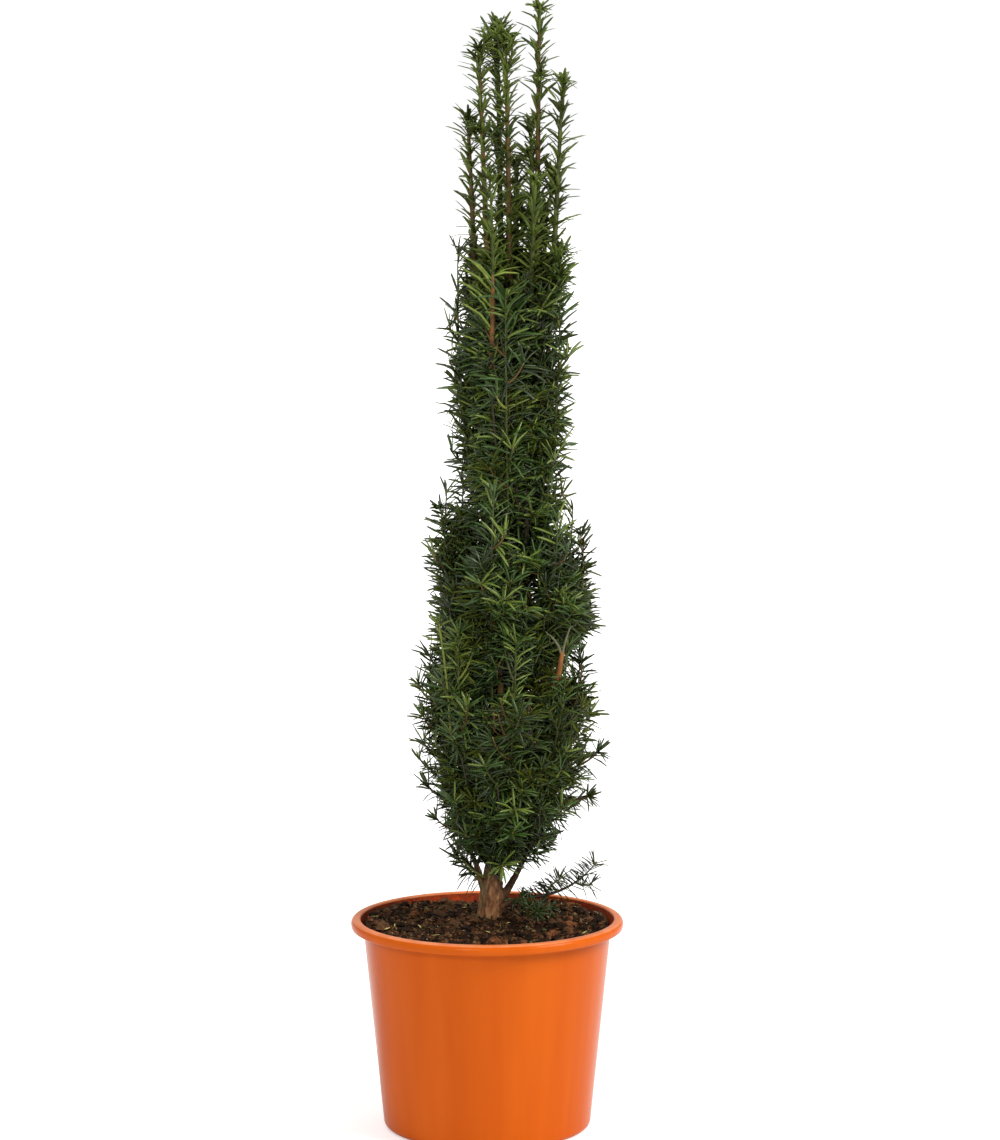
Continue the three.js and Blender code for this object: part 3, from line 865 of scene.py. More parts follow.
def plannedMasses():
    found = []
    for ring in rings:
        for i, side in enumerate(ring["sides"]):
            bearing = math.radians(ring["firstBearing"] + 360 / len(ring["sides"]) * i)
            outward = np.array([math.cos(bearing), math.sin(bearing), 0])
            (fx, fy), footRadius, footHeight = ring["foot"]
            (tx, ty), tipRadius, tipHeight = ring["tip"]
            foot = np.array([fx, fy, footHeight]) + outward * footRadius
            tip = np.array([tx, ty, tipHeight + ring["tipRise"][i]]) + outward * tipRadius
            found.append({
                **ring, "name": f"foliage_{ring['name']}_{side}", "foot": foot, "tip": tip,
                "bow": outward * ring["bow"] * np.linalg.norm(tip - foot), "leaves": ring["leaves"][i],
            })
    for name, (wood, foot, tip, leaves, sideShoots) in leaders.items():
        found.append({
            **leaderStyle, "name": f"leader_{name}", "wood": wood, "foot": foot, "tip": tip,
            "bow": (0, 0, 0), "leaves": leaves, "sideShoots": sideShoots,
        })
    found.append(dict(lowSpray))
    for i, mass in enumerate(found):
        mass["seed"] = i + 1
        for key in ("foot", "tip", "bow"):
            mass[key] = np.array(mass[key], float)
        middle = (mass["foot"] + mass["tip"]) / 2 + mass["bow"]
        mass["controls"] = [mass["foot"], middle, mass["tip"]]
        mass["fromTrunk"] = not mass["leaves"] and mass["name"] != "leader_tall"
        if mass["fromTrunk"]:
            mass["controls"].insert(0, trunkPoint(trunkShare(mass["foot"][2] - massStyle["stemSunk"])))
        mass["line"] = bezier(mass["controls"], np.linspace(0, 1, massStyle["lineSteps"] + 1))
    return found


plan = plannedMasses()
segStart = np.concatenate([mass["line"][:-1] for mass in plan])
segEnd = np.concatenate([mass["line"][1:] for mass in plan])
segMass = np.repeat(np.arange(len(plan)), massStyle["lineSteps"])


def gapsToSegments(point, starts, ends):
    lines = ends - starts
    shares = (((point - starts) * lines).sum(1) / (lines * lines).sum(1)).clip(0, 1)
    return np.linalg.norm(point - starts - shares[:, None] * lines, axis=1), shares


def inOwnSpace(point, index, spare):
    least = np.full(len(plan), 1e9)
    np.minimum.at(least, segMass, gapsToSegments(point, segStart, segEnd)[0])
    own = least[index]
    least[index] = 1e9
    return least.min() > own + spare


def boughRadii(shares, footRadius):
    tip = boughStyle["tipRadius"]
    return tip + (footRadius - tip) * (1 - shares).clip(0) ** boughStyle["taper"]


limbs = []


def planLimbs():
    # every bough's line and radii, then the trunk's
    for mass in plan:
        if not mass["leaves"]:
            continue
        direction = unitRow(mass["controls"][1] - mass["foot"])
        controls = boughControls(mass["leaves"], mass["foot"] - direction * massStyle["boughGap"], direction)
        shares = np.linspace(0, 1, boughStyle["lineSteps"] + 1)
        limbs.append({
            "name": "bough_" + mass["name"].split("_", 1)[1], "controls": controls,
            "line": bezier(controls, shares), "radius": mass["boughRadius"],
            "radii": boughRadii(shares, mass["boughRadius"]),
        })
    shares = np.linspace(0, 1, trunk["lineSteps"] + 1)
    line = splineThrough(trunk["path"], shares)
    radii = np.array([trunkRadius(share, point[2]) for share, point in zip(shares, line)])
    limbs.append({"name": "trunk", "line": line, "radii": radii})


planLimbs()
limbStart = np.concatenate([limb["line"][:-1] for limb in limbs])
limbEnd = np.concatenate([limb["line"][1:] for limb in limbs])
limbFoot = np.concatenate([limb["radii"][:-1] for limb in limbs])
limbTip = np.concatenate([limb["radii"][1:] for limb in limbs])


def clearOfLimbs(point, spare):
    if point[2] < soilTop / mm + spare + massStyle["aboveSoil"]:
        return False
    gaps, shares = gapsToSegments(point, limbStart, limbEnd)
    return bool((gaps >= mix(limbFoot, limbTip, shares) + spare).all())


def makeBoughs(material):
    bm = bmesh.new()
    bm.verts.layers.float.new("crest")
    for i, limb in enumerate(limbs[:-1]):
        length = stepLengths(limb["line"]).sum()
        shares = np.linspace(0, boughStyle["pastFoot"], int(length / boughStyle["rowLength"]))
        centres = bezier(limb["controls"], shares)
        radii = boughRadii(shares, limb["radius"])
        radii *= 1 + boughStyle["collar"] * np.exp(-shares * length / boughStyle["collarLength"])
        limbTube(bm, centres, radii, boughStyle["sides"], boughStyle["relief"], 11.0 + 7 * i)
    bmesh.ops.recalc_face_normals(bm, faces=bm.faces)
    finishPiece("bough_bark", bm, [material], [limb["name"] for limb in limbs[:-1]])


makeSoil()
litterSoil()
print("stage: soil")
barkSkin = barkMaterial()
makeTrunk(barkSkin)
makeBoughs(barkSkin)
print("stage: trunk and boughs")


# shoots: each mass has its stem, the solids' side shoots, more side shoots and short twigs on them

shootStyle = {
    "radius": 1.15,
    "sprayRadius": 1.5,
    "leaderRadius": 2.7,
    "leaderTipRadius": 1.1,
    "sideRadius": 1.1,
    "twigRadius": 0.8,
    "tipRadius": 0.55,
    "goldenAngle": 137.5,
    "first": 0.08,
    "last": 0.86,
    "spreading": ((0.42, 0.22), (0.62, 0.72)),  # out and up at the bend and at the tip, in lengths
    "upright": ((0.32, 0.32), (0.44, 0.88)),
    "tries": 5,
    "clear": 3.2,
    "extraClear": -6.0,
    "twigClear": 1.0,
    "twigLength": (16, 34),
    "twigSpacing": 11,
    "reachSpare": 3.0,
    "leaderShare": 0.6,
    "innerTop": 742,  # inner shoots leave the trunk below this, and a little lower than where they go
    "innerDrop": 14,
    "innerRise": (16, 34),
    "stemBare": 14,
    "dullBelow": 262,  # low down there are no bright shoots
    "litLeftShare": 0.45,  # on the left this share of the shoots is painted a step brighter, a painted light on that side
    "rowLength": 5.0,
}

# how far from its middle line the foliage of the three rings reaches, by height
reach = {
    "heights": (212, 237, 255, 273, 300, 340, 385, 406, 416, 425, 434, 470,
                500, 520, 540, 572, 607, 642, 660, 700, 740, 765, 790, 820),
    "middles": (2, 10, 12, 13, 20, 22, 14, 14, 10, 5, 23, 24,
                17, 16, 12, 18, 20, 16, 20, 19, 23, 23, 22, 21),
    "radii": (24, 41, 51, 63, 77, 84, 83, 76, 69, 66, 79, 84,
              73, 68, 56, 50, 54, 57, 56, 55, 58, 54, 48, 44),
    "stemRoom": 8,
    "needleRoom": 16,
    "stray": (-8, 3.5),
}
# columns along which the sky shows through the foliage: x and height at the middle, and radius
openings = {
    "through": [
        (39, 476, 6), (36, 486, 5), (41, 466, 4), (2, 374, 4), (3, 364, 3), (74, 338, 4), (62, 318, 4),
        (88, 352, 4), (-25, 318, 4), (25, 286, 4), (82, 345, 5), (77, 322, 5), (70, 300, 4), (88, 324, 4),
        (93, 340, 4),
    ],
    # these are open only in front, as far back as the y that comes last
    "shallow": [
        (28, 524, 5, -32), (28, 536, 5, -32), (28, 548, 5, -32), (27, 560, 5, -32), (63, 408, 5, -38),
        (64, 418, 5, -38), (65, 428, 5, -38), (61, 438, 5, -38), (55, 444, 4, -38), (-33, 372, 4, -40),
        (-34, 383, 4, -40), (-35, 394, 4, -40), (-36, 405, 4, -40), (-37, 416, 4, -40), (-38, 427, 4, -40),
        (-39, 438, 4, -40), (4, 692, 4, -30), (5, 708, 4, -30), (6, 724, 4, -30), (12, 354, 5, -37),
        (12, 365, 5, -37), (12, 377, 5, -37), (12, 389, 5, -37), (12, 401, 5, -37), (12, 413, 5, -37),
        (6, 445, 6, -50), (-3, 213, 5, 0), (-6, 222, 5, -1), (-9, 231, 5, -2), (-11, 239, 4, -3),
    ],
    "drop": -0.14,
    "keptThrough": 0.28,
    "keptShallow": 0.12,
}
openColumns = [(*column, math.inf, openings["keptThrough"]) for column in openings["through"]]
openColumns += [(*column, openings["keptShallow"]) for column in openings["shallow"]]


def reachAt(points):
    # how far inside the foliage's reach points are
    heights = reach["heights"]
    outward = np.hypot(points[:, 0] - np.interp(points[:, 2], heights, reach["middles"]), points[:, 1])
    return np.interp(points[:, 2], heights, reach["radii"]) - outward


def inOpening(points, random):
    found = np.zeros(len(points), bool)
    for x, height, radius, backTo, share in openColumns:
        offAxis = np.hypot(points[:, 0] - x, points[:, 2] - height - openings["drop"] * points[:, 1])
        kept = random.random(len(points)) < share
        found |= (offAxis < radius) & (points[:, 1] < backTo) & ~kept
    return found


def across(tangent):
    guide = np.array([1.0, 0, 0]) if abs(tangent[2]) > 0.6 else np.array([0, 0, 1.0])
    first = squareTo(tangent, guide)
    return first, np.cross(tangent, first)


def curvePoint(controls, share):
    point, near = bezier(controls, [share, share + 0.002])
    return point, unitRow(near - point)


def sideControls(controls, share, bearing, length, habit):
    start, tangent = curvePoint(controls, share)
    first, second = across(tangent)
    outward = first * math.cos(bearing) + second * math.sin(bearing)
    bends = shootStyle[habit]
    return [start, *(start + outward * length * out + tangent * length * rise for out, rise in bends)]


def freeSide(index, controls, share, bearing, length, spare, habit):
    # a side shoot that keeps clear of its neighbours, turned on and shortened until it does
    for turn in range(shootStyle["tries"]):
        shorter = length * (1 - 0.08 * turn)
        facing = bearing + math.radians(shootStyle["goldenAngle"] * turn)
        made = sideControls(controls, share, facing, shorter, habit)
        points = bezier(made, [0.3, 0.5, 0.75, 1])
        if all(inOwnSpace(point, index, spare) and clearOfLimbs(point, spare) for point in points):
            return made, shorter
    return None


def inSolid(mass, point):
    # inside the space that the mass's own solid takes up
    low, high = mass["box"]
    return bool((point > low).all() and (point < high).all())


def pastReach(mass, point, room):
    return mass["inRing"] and reachAt(point[None])[0] < room


# shoots with a place of their own, each of a kind
placedKinds = {
    "fork": {"habit": "ring", "radius": 1.1, "tint": 0},
    "tip": {"habit": "young", "radius": 1.3, "tint": 3, "wood": "olive"},
    "edge": {"habit": "edge", "radius": 1.3, "tint": 0, "wood": "brown", "free": True},
    # the fresh shoot takes tint 5, the painted sunlit green
    "fresh": {"habit": "fresh", "radius": 2.5, "tipRadius": 1.4, "tint": 5, "wood": "tan", "free": True},
    "arching": {"habit": "young", "radius": 1.6, "tint": 3, "wood": "olive", "free": True},
    "litter": {"habit": "litter", "radius": 0.9, "tint": 1, "wood": "olive", "free": True},
    "orangeStem": {"habit": None, "radius": 2.3, "tipRadius": 1.9, "wood": "orange"},
    "bareTwig": {"habit": None, "radius": 0.9, "tipRadius": 0.6, "wood": "dark"},
    "branch": {"habit": None, "radius": 3.4, "tipRadius": 2.6, "wood": "brown"},
    "darkBranch": {"habit": None, "radius": 2.6, "tipRadius": 1.8, "wood": "dark"},
    "greyStem": {"habit": None, "radius": 1.2, "tipRadius": 0.6, "wood": "grey"},
    "greenStem": {
        "habit": "sparse", "radius": 1.2, "tipRadius": 0.9, "tint": 2, "wood": "green", "free": True,
    },
}
placedShoots = {
    "foliage_low_left": [
        ("fork", (-3, 2, 216), (-14, 0, 224), (-27, -3, 240)),
        ("fork", (-5, 6, 222), (-18, 8, 232), (-26, 8, 246)),
        ("fork", (-1, -3, 222), (-12, -14, 228), (-20, -20, 240)),
    ],
    "foliage_low_front_left": [
        ("greenStem", (-31, -37, 352), (-33, -44, 402), (-41, -44, 452)),
        ("bareTwig", (-16, -42, 300), (-17, -48, 318), (-23, -52, 340)),
        ("bareTwig", (-23, -20, 250), (-25, -32, 274), (-27, -44, 298)),
    ],
    "foliage_low_front": [
        ("fork", (5, -4, 230), (6, -20, 236), (5, -33, 246)),
        ("fork", (9, -4, 238), (14, -20, 246), (19, -32, 256)),
        ("fork", (2, -4, 234), (-6, -16, 242), (-10, -28, 254)),
        ("bareTwig", (13, -46, 278), (11, -55, 294), (9, -60, 314)),
        ("branch", (11, -6, 336), (12, -36, 366), (12, -32, 420)),
    ],
    "foliage_low_front_right": [
        ("fork", (20, -2, 232), (30, -8, 240), (42, -14, 246)),
        ("fork", (26, 0, 240), (38, -4, 247), (50, -6, 250)),
        ("bareTwig", (44, -28, 258), (45, -41, 276), (46, -52, 294)),
        ("bareTwig", (40, -50, 344), (37, -58, 362), (35, -62, 384)),
        ("orangeStem", (61, -40, 402), (63, -44, 414), (65, -45, 428)),
        ("greyStem", (64.5, -45, 424), (62, -47, 438), (50, -48, 446)),
        ("greyStem", (64.5, -45, 424), (67, -46, 438), (72, -46, 450)),
    ],
    "foliage_low_right": [
        ("fork", (30, 4, 240), (42, 8, 248), (50, 10, 256)),
        ("edge", (72, -6, 366), (84, -9, 392), (82, -9, 415)),
        ("edge", (60, -6, 288), (78, -10, 291), (89, -12, 296)),
        ("edge", (70, -4, 318), (88, -8, 324), (98, -10, 336)),
    ],
    "foliage_low_back": [("fork", (12, 12, 232), (14, 24, 240), (14, 34, 252))],
    "foliage_middle_front_left": [
        ("orangeStem", (7, -40, 440), (6, -45, 447), (6, -46, 453)),
        ("bareTwig", (11, -44, 408), (10, -46, 418), (7, -46, 432)),
        ("bareTwig", (11, -44, 408), (14, -46, 418), (17, -46, 432)),
    ],
    "foliage_middle_front_right": [
        ("darkBranch", (26, -6, 496), (29, -26, 524), (25, -26, 570)),
        ("darkBranch", (32, -14, 500), (36, -28, 526), (34, -26, 566)),
    ],
    "foliage_upper_front_left": [("bareTwig", (8, -40, 604), (6, -46, 628), (3, -46, 658))],
    "foliage_middle_left": [("edge", (-28, -4, 490), (-38, -6, 522), (-40, -6, 550))],
    "foliage_middle_right": [("edge", (80, -5, 456), (86, -6, 494), (81, -6, 527))],
    "leader_left_outer": [
        ("fresh", (3, -32, 668), (6, -40, 710), (5, -38, 750)),
        ("arching", (5, -32, 744), (6, -32, 786), (2, -24, 834)),
        ("tip", (-7, -9, 918), (-7, -12, 934), (-1, -11, 952)),
    ],
    "leader_left_middle": [
        ("tip", (9, 9, 926), (4, 5, 942), (3, 2, 958)),
        ("tip", (9, 9, 932), (14, 6, 946), (12, 3, 962)),
    ],
    "leader_left_inner": [
        ("tip", (16, -5, 920), (22, -7, 932), (22, -8, 949)),
        ("tip", (16, -5, 926), (10, -8, 940), (9, -10, 954)),
    ],
    "foliage_low_spray": [
        ("litter", (30, -4, 203), (40, -10, 202), (49, -17, 198)),
        ("litter", (32, -8, 199), (39, -18, 198), (44, -27, 195)),
        ("litter", (22, -6, 201), (27, -9, 204), (31, -12, 206)),
        ("litter", (36, -8, 200), (46, -10, 197), (57, -12, 196)),
    ],
}


def innerControls(mass, random):
    # a shoot from the trunk out to the mass's own stem
    foot, top = mass["foot"][2], mass["tip"][2]
    height = random.uniform(foot, min(top, shootStyle["innerTop"]))
    start = trunkPoint(trunkShare(height - shootStyle["innerDrop"]))
    goal = bezier(mass["controls"], [(height - foot) / (top - foot)])[0]
    turn = random.uniform(-0.7, 0.7)
    x, y = (goal - start)[:2] * random.uniform(0.55, 0.95)
    cos, sin = math.cos(turn), math.sin(turn)
    outward = np.array([x * cos - y * sin, x * sin + y * cos, 0])
    rise = np.array([0, 0, random.uniform(*shootStyle["innerRise"])])
    return [start, start + outward * 0.6 + rise * 0.35, start + outward + rise]


def sideStems(index, mass, habit, random):
    # the solids' own side shoots, then more of them between
    stem, sides = mass["controls"], []
    numbers, golden = seeded(mass["seed"]), shootStyle["goldenAngle"]
    bends, share = ("upright", shootStyle["leaderShare"]) if habit == "leader" else ("spreading", 1)
    for i in range(mass["sideShoots"]):
        at = mix(shootStyle["first"], shootStyle["last"], (i + 0.5 * next(numbers)) / mass["sideShoots"])
        bearing = math.radians(golden * i + 60 * next(numbers))
        length = mass["sideLength"] * (0.75 + 0.4 * next(numbers)) * (1.1 - 0.5 * at)
        side = freeSide(index, stem, at, bearing, length * share, shootStyle["clear"], bends)
        while side and side[1] > 0.5 * length and pastReach(mass, side[0][2], reach["stemRoom"]):
            side = [side[0][0] + (point - side[0][0]) * 0.9 for point in side[0]], side[1] * 0.9
        sides.append(side)
    for i in range(mass["extraShoots"]):
        at = mix(*mass.get("extraSpan", (0.04, 0.94)), (i + random.random()) / mass["extraShoots"])
        bearing = math.radians(golden * (i + 0.5)) + random.uniform(0, 2)
        length = mass["sideLength"] * random.uniform(0.6, 1.0) * (1.1 - 0.5 * at)
        side = freeSide(index, stem, at, bearing, length, shootStyle["extraClear"], "upright")
        if side and not pastReach(mass, side[0][2], reach["needleRoom"]):
            sides.append(side)
    return [side for side in sides if side]


def twigsOn(mass, controls, length, random):
    found = []
    twigs = int(length / shootStyle["twigSpacing"]) if mass["inRing"] else 0
    for k in range(twigs):
        share = mix(0.15, 0.85, (k + random.random()) / twigs)
        bearing = math.radians(shootStyle["goldenAngle"] * k) + random.uniform(0, 2)
        twigLength = random.uniform(*shootStyle["twigLength"])
        twig = sideControls(controls, share, bearing, twigLength, "spreading")
        clear = clearOfLimbs(twig[2], shootStyle["twigClear"]) and inSolid(mass, twig[2])
        if clear and not pastReach(mass, twig[2], reach["needleRoom"]):
            found.append({"controls": twig, "length": twigLength, "radius": shootStyle["twigRadius"],
                          "order": 2, "habit": "twig", "bare": 2})
    return found


def growShoots(index, mass):
    low, high = (np.array(corner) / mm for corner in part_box(mass["name"]))
    mass["box"] = (low - shootStyle["reachSpare"], high + shootStyle["reachSpare"])
    isSpray = mass["name"] == lowSpray["name"]
    mass["inRing"] = mass["name"].startswith("foliage") and not isSpray
    random = np.random.default_rng(100 + mass["seed"])
    habit = "ring" if mass["inRing"] else "spray" if isSpray else "leader"
    stemRadius = shootStyle[{"ring": "radius", "spray": "sprayRadius", "leader": "leaderRadius"}[habit]]
    shoots = [{
        "controls": mass["controls"], "length": stepLengths(mass["line"]).sum(), "radius": stemRadius,
        "order": 0, "habit": habit, "bare": shootStyle["stemBare"] if mass["fromTrunk"] else 0,
        "wood": mass.get("wood", "olive"),
        "tipRadius": shootStyle["leaderTipRadius" if habit == "leader" else "tipRadius"],
    }]
    side = {"radius": shootStyle["sideRadius"], "order": 1, "bare": 3}
    for controls, length in sideStems(index, mass, habit, random):
        shoots.append({**side, "controls": controls, "length": length, "habit": habit})
        shoots += twigsOn(mass, controls, length, random)
    for _ in range(mass.get("innerShoots", 0)):
        controls = innerControls(mass, random)
        length = np.linalg.norm(controls[2] - controls[0])
        shoots.append({**side, "controls": controls, "length": length, "habit": "ring"})
    for kind, *controls in placedShoots.get(mass["name"], ()):
        controls = np.array(controls, float)
        length = stepLengths(controls).sum()
        shoots.append({"controls": controls, "length": length, "order": 1, "bare": 2, **placedKinds[kind]})
    for shoot in shoots:
        shoot["mass"] = mass
        # painted light: some shoots on the left take the next brighter tint
        litLeftStep = mass["name"].endswith("left") and random.random() < shootStyle["litLeftShare"]
        tint = random.choice(5, p=mass["tints"])
        if mass["inRing"] and shoot["controls"][0][2] < shootStyle["dullBelow"]:
            tint, litLeftStep = tint % 3, 0
        shoot.setdefault("tint", min(3, tint + litLeftStep) if tint < 4 else 4)
        rows = max(4, int(shoot["length"] / shootStyle["rowLength"]))
        shoot["points"] = bezier(shoot["controls"], np.linspace(0, 1, rows + 1))
    return shoots


# needles: a flat blade with a midrib above, pointed at both ends

needleStyle = {
    "thick": 0.5, "stations": (0, 0.1, 0.52, 0.88, 1), "widths": (0, 0.74, 1.0, 0.7, 0),
    "openAt": (0.2, 0.6, 1.0),  # places along a needle that keep out of the openings
    "shortestShoot": 4,
}
# lengths in mm, lean in degrees from the shoot at its foot and tip, curl as a share of the length
needleHabits = {
    "ring": {"tuft": 10, "tuftLean": (20, 70)},
    "twig": {"tuft": 9, "tuftLean": (20, 70)},
    "leader": {"spacing": 1.3, "length": 23.0, "width": 3.4, "curl": (-0.36, 0.16), "tuft": 18,
               "tuftLean": (12, 84), "tuftLength": 0.66, "whorl": 14.0, "unruly": 14, "shortest": 0.5},
    "fresh": {"spacing": 5.4, "length": 36.0, "width": 3.3, "curl": (-0.62, 0.12), "tuft": 2,
              "tuftLean": (20, 60), "tuftLength": 0.7, "lean": (30, 20), "leftShare": 0.7},
    "young": {"spacing": 1.7, "length": 20.0, "width": 2.7, "curl": (-0.32, 0.15), "tuft": 12,
              "tuftLean": (12, 75), "tuftLength": 0.7, "lean": (44, 30)},
    "edge": {"spacing": 1.2, "length": 18.0, "width": 2.6, "curl": (-0.12, 0.12), "tuft": 12,
             "tuftLean": (20, 90), "lean": (72, 50)},
    "sparse": {"spacing": 4.0, "length": 19.0, "width": 2.5, "curl": (-0.12, 0.12), "tuft": 6,
               "tuftLean": (30, 80)},
    "spray": {"spacing": 0.85, "length": 15.5, "width": 1.4, "curl": (-0.12, 0.10), "tuft": 7,
              "tuftLean": (10, 60), "ranks": True},
    "litter": {"spacing": 1.5, "length": 12.5, "width": 1.9, "curl": (-0.10, 0.12), "tuft": 12,
               "tuftLean": (20, 100)},
}


def needleTemplate():
    # a ball of three sides and four rows, drawn out along X; above are the faces that look up
    corners, faces = ballShape(3, 4)
    row = np.round(4 * np.arccos(corners[:, 2].clip(-1, 1)) / math.pi).astype(int)
    angles = np.arctan2(corners[:, 1], corners[:, 0])
    widths = np.array(needleStyle["widths"])[row]
    sides, lifts = np.sin(angles) / math.sin(math.pi / 3) * widths, np.cos(angles) * widths
    corners = np.stack([np.array(needleStyle["stations"])[row], sides, lifts], 1)
    a, b, c = (corners[faces[:, k]] for k in range(3))
    normals = np.cross(b - a, c - a)
    return corners, faces, normals[:, 2] > 0


needleCorners, needleFaces, needleAbove = needleTemplate()


def needleShares(shoot, habit, random):
    # where along the shoot its needles stand, and which of them make the tuft that closes its tip
    grownLength = shoot["length"] - shoot["bare"]
    count, tuft = int(grownLength / habit["spacing"]), habit["tuft"]
    along = shoot["bare"] + (np.arange(count) + random.uniform(-0.35, 0.35, count)) / count * grownLength
    if "whorl" in habit:
        # on the leaders the needles crowd at every whorl and leave the stem bare between
        along -= 0.145 * habit["whorl"] * np.sin(full * along / habit["whorl"])
    shares = along.clip(0, shoot["length"]) / shoot["length"]
    shares = np.r_[shares, 1 - random.uniform(0, 2.5, tuft) / shoot["length"]]
    return shares, np.arange(count + tuft) >= count


def needleFrames(mass, habit, roots, tangents):
    # needles turn their faces to the light: outwards and up in the rings, up along the stem elsewhere
    middles = np.interp(roots[:, 2], reach["heights"], reach["middles"])
    away = unitRow(np.stack([roots[:, 0] - middles, roots[:, 1], np.full(len(roots), 0.01)], 1))
    around = np.cross([0, 0, 1.0], away)
    toLight = away + [0, 0, 0.7] if mass["inRing"] or "leftShare" in habit else tangents + [0, 0, 0.8]
    second = np.cross(tangents, away + [0, 0, 0.7] if mass["inRing"] else [0.3, -1.0, 0])
    second += 0.4 * around * np.sign((second * around).sum(1, keepdims=True))
    second = squareTo(tangents, second)
    return np.cross(second, tangents), second, toLight


def keptNeedles(shoot, roots, blades, bends, random):
    # the needles that stand clear of the openings and within the foliage's reach
    kept = np.full(len(roots), True)
    for share in needleStyle["openAt"]:
        points = roots + blades * share + bends * share ** 2
        kept &= ~inOpening(points, random) | (shoot["habit"] == "fresh")
    if shoot["mass"]["inRing"] and "free" not in shoot:
        kept &= reachAt(roots + blades + bends) > random.normal(*reach["stray"], len(roots))
    return kept


def needlesOn(shoot, random):
    # its needles' roots, directions, normals, lengths, half widths, bends and shares along the shoot
    mass = shoot["mass"]
    if shoot["length"] - shoot["bare"] < needleStyle["shortestShoot"] or not shoot["habit"]:
        return None
    habit = needleHabits[shoot["habit"]]
    if shoot["habit"] in ("ring", "twig"):
        habit = {**habit, **mass["needles"]}
    shares, isTuft = needleShares(shoot, habit, random)
    count = len(shares)
    roots = bezier(shoot["controls"], shares)
    tangents = unitRow(bezier(shoot["controls"], shares + 0.01) - roots)
    first, second, toLight = needleFrames(mass, habit, roots, tangents)
    angles = random.uniform(0, full) + math.radians(shootStyle["goldenAngle"]) * np.arange(count)
    angles += random.normal(0, 0.2, count)
    lean = mix(*habit.get("lean", mass["lean"]), shares ** 2.2)
    lean += random.normal(0, habit.get("unruly", 11), count)
    if "ranks" in habit:
        first = squareTo(tangents, np.array([0, 0, 1.0]))
        second = np.cross(tangents, first)
        # one rank above the twig, and a sparser one below it that points on towards the tip
        below = (np.arange(count) % 4 == 0) & (shares > 0.4)
        angles = np.where(below, math.pi, 0) + random.normal(0, 0.35, count)
        lean -= np.where(below, 40, 0)
    elif "leftShare" in habit:
        # these fan out to both sides, more of them to the left
        halfTurns = np.where(random.random(count) < habit["leftShare"], 1.5, 0.5)
        angles = halfTurns * math.pi + random.normal(0, 0.5, count)
    elif mass["inRing"]:
        # on side shoots the needles part to the left and right, as a comb
        angles += np.where(isTuft, 0.2, 0.42) * min(1, shoot["order"]) * np.sin(2 * angles)
    outward = first * np.cos(angles)[:, None] + second * np.sin(angles)[:, None]
    lean = np.radians(np.where(isTuft, random.uniform(*habit["tuftLean"], count), lean))
    directions = unitRow(outward * np.sin(lean)[:, None] + tangents * np.cos(lean)[:, None])
    # needles are shorter at both ends of their shoot
    grownShare = np.sin(np.pi * (0.14 + 0.7 * shares).clip(0, 1)) ** 0.5
    lengths = habit["length"] * mix(0.55, 1, grownShare)
    lengths *= random.uniform(habit.get("shortest", 0.72), 1.1, count)
    lengths *= np.where(isTuft, habit.get("tuftLength", 1), 1) * (0.86 if shoot["habit"] == "twig" else 1)
    normals = squareTo(directions, toLight + random.normal(0, 0.4, (count, 3)))
    rise = squareTo(directions, [0, 0, 1.0] + 0.2 * normals)
    bends = rise * (random.normal(*habit["curl"], count) * lengths)[:, None]
    kept = keptNeedles(shoot, roots, directions * lengths[:, None], bends, random)
    halves = 0.5 * habit["width"] * random.uniform(0.85, 1.12, count)
    return tuple(values[kept] for values in (roots, directions, normals, lengths, halves, bends, shares))


def needleMesh(roots, directions, normals, lengths, halves, bends):
    sides = np.cross(normals, directions)
    along = needleCorners[None, :, 0:1] * lengths[:, None, None]
    aside = needleCorners[None, :, 1:2] * halves[:, None, None]
    lift = needleCorners[None, :, 2:3] * needleStyle["thick"]
    bend = needleCorners[None, :, 0:1] ** 2 * bends[:, None]
    corners = roots[:, None] + directions[:, None] * along + sides[:, None] * aside
    return (corners + normals[:, None] * lift + bend) * mm


# colour, roughness and gloss of each tint
greens = {
    "deep": ((30, 44, 10), 0.36, 0.52),
    "mid": ((42, 60, 14), 0.36, 0.52),
    "fresh": ((56, 84, 24), 0.36, 0.52),
    "bright": ((106, 124, 46), 0.36, 0.55),
    "olive": ((68, 76, 13), 0.44, 0.18),
    # sunny is a painted highlight: needles painted paler, as if lit
    "sunny": ((132, 150, 60), 0.42, 0.3),
    "underDeep": ((62, 73, 26), 0.5, 0.25),
    "underFresh": ((88, 103, 38), 0.5, 0.25),
}
# the under side that goes with each tint above
underTint = np.array([6, 6, 7, 7, 6, 7])
needleMaterials = [
    plainMaterial(f"needle{name[0].upper()}{name[1:]}", srgb(*colour), rough, gloss)
    for name, (colour, rough, gloss) in greens.items()
]


def needleTints(shoot, shares, random):
    inRing, tint = shoot["mass"]["inRing"], np.full(len(shares), shoot["tint"])
    if shoot["tint"] < 3:
        # the end of a shoot is this year's growth, and a step fresher
        tint = np.minimum(3, tint + ((shares > 0.8) & (shoot["order"] < 2) & inRing))
    if shoot["habit"] in ("ring", "twig", "young") and shoot["tint"] < 4:
        # some needles are a step duller or fresher than their shoot
        tint = (tint + random.choice((-1, 0, 1), len(tint), p=(0.18, 0.66, 0.16))).clip(0, 3)
    if shoot["habit"] == "leader":
        # each whorl is a spray of its own
        whorls = (shares * shoot["length"] / needleHabits["leader"]["whorl"]).astype(int)
        tint = random.choice(5, whorls.max() + 1, p=shoot["mass"]["tints"])[whorls]
    return tint


def growNeedles(name, shoots, replaced, seed):
    random = np.random.default_rng(seed)
    parts, slots = [], []
    for shoot in shoots:
        needles = needlesOn(shoot, random)
        if needles is None:
            continue
        *blades, shares = needles
        parts.append(needleMesh(*blades))
        tint = needleTints(shoot, shares, random)[:, None]
        slots.append(np.where(needleAbove, tint, underTint[tint]).ravel())
    corners = np.concatenate(parts)
    print(f"needles: {name}, {len(corners)}")
    joinedCopies(name, corners, needleFaces, np.concatenate(slots), needleMaterials, replaced)


# twigs: the woody core of every shoot, with a bud at its tip

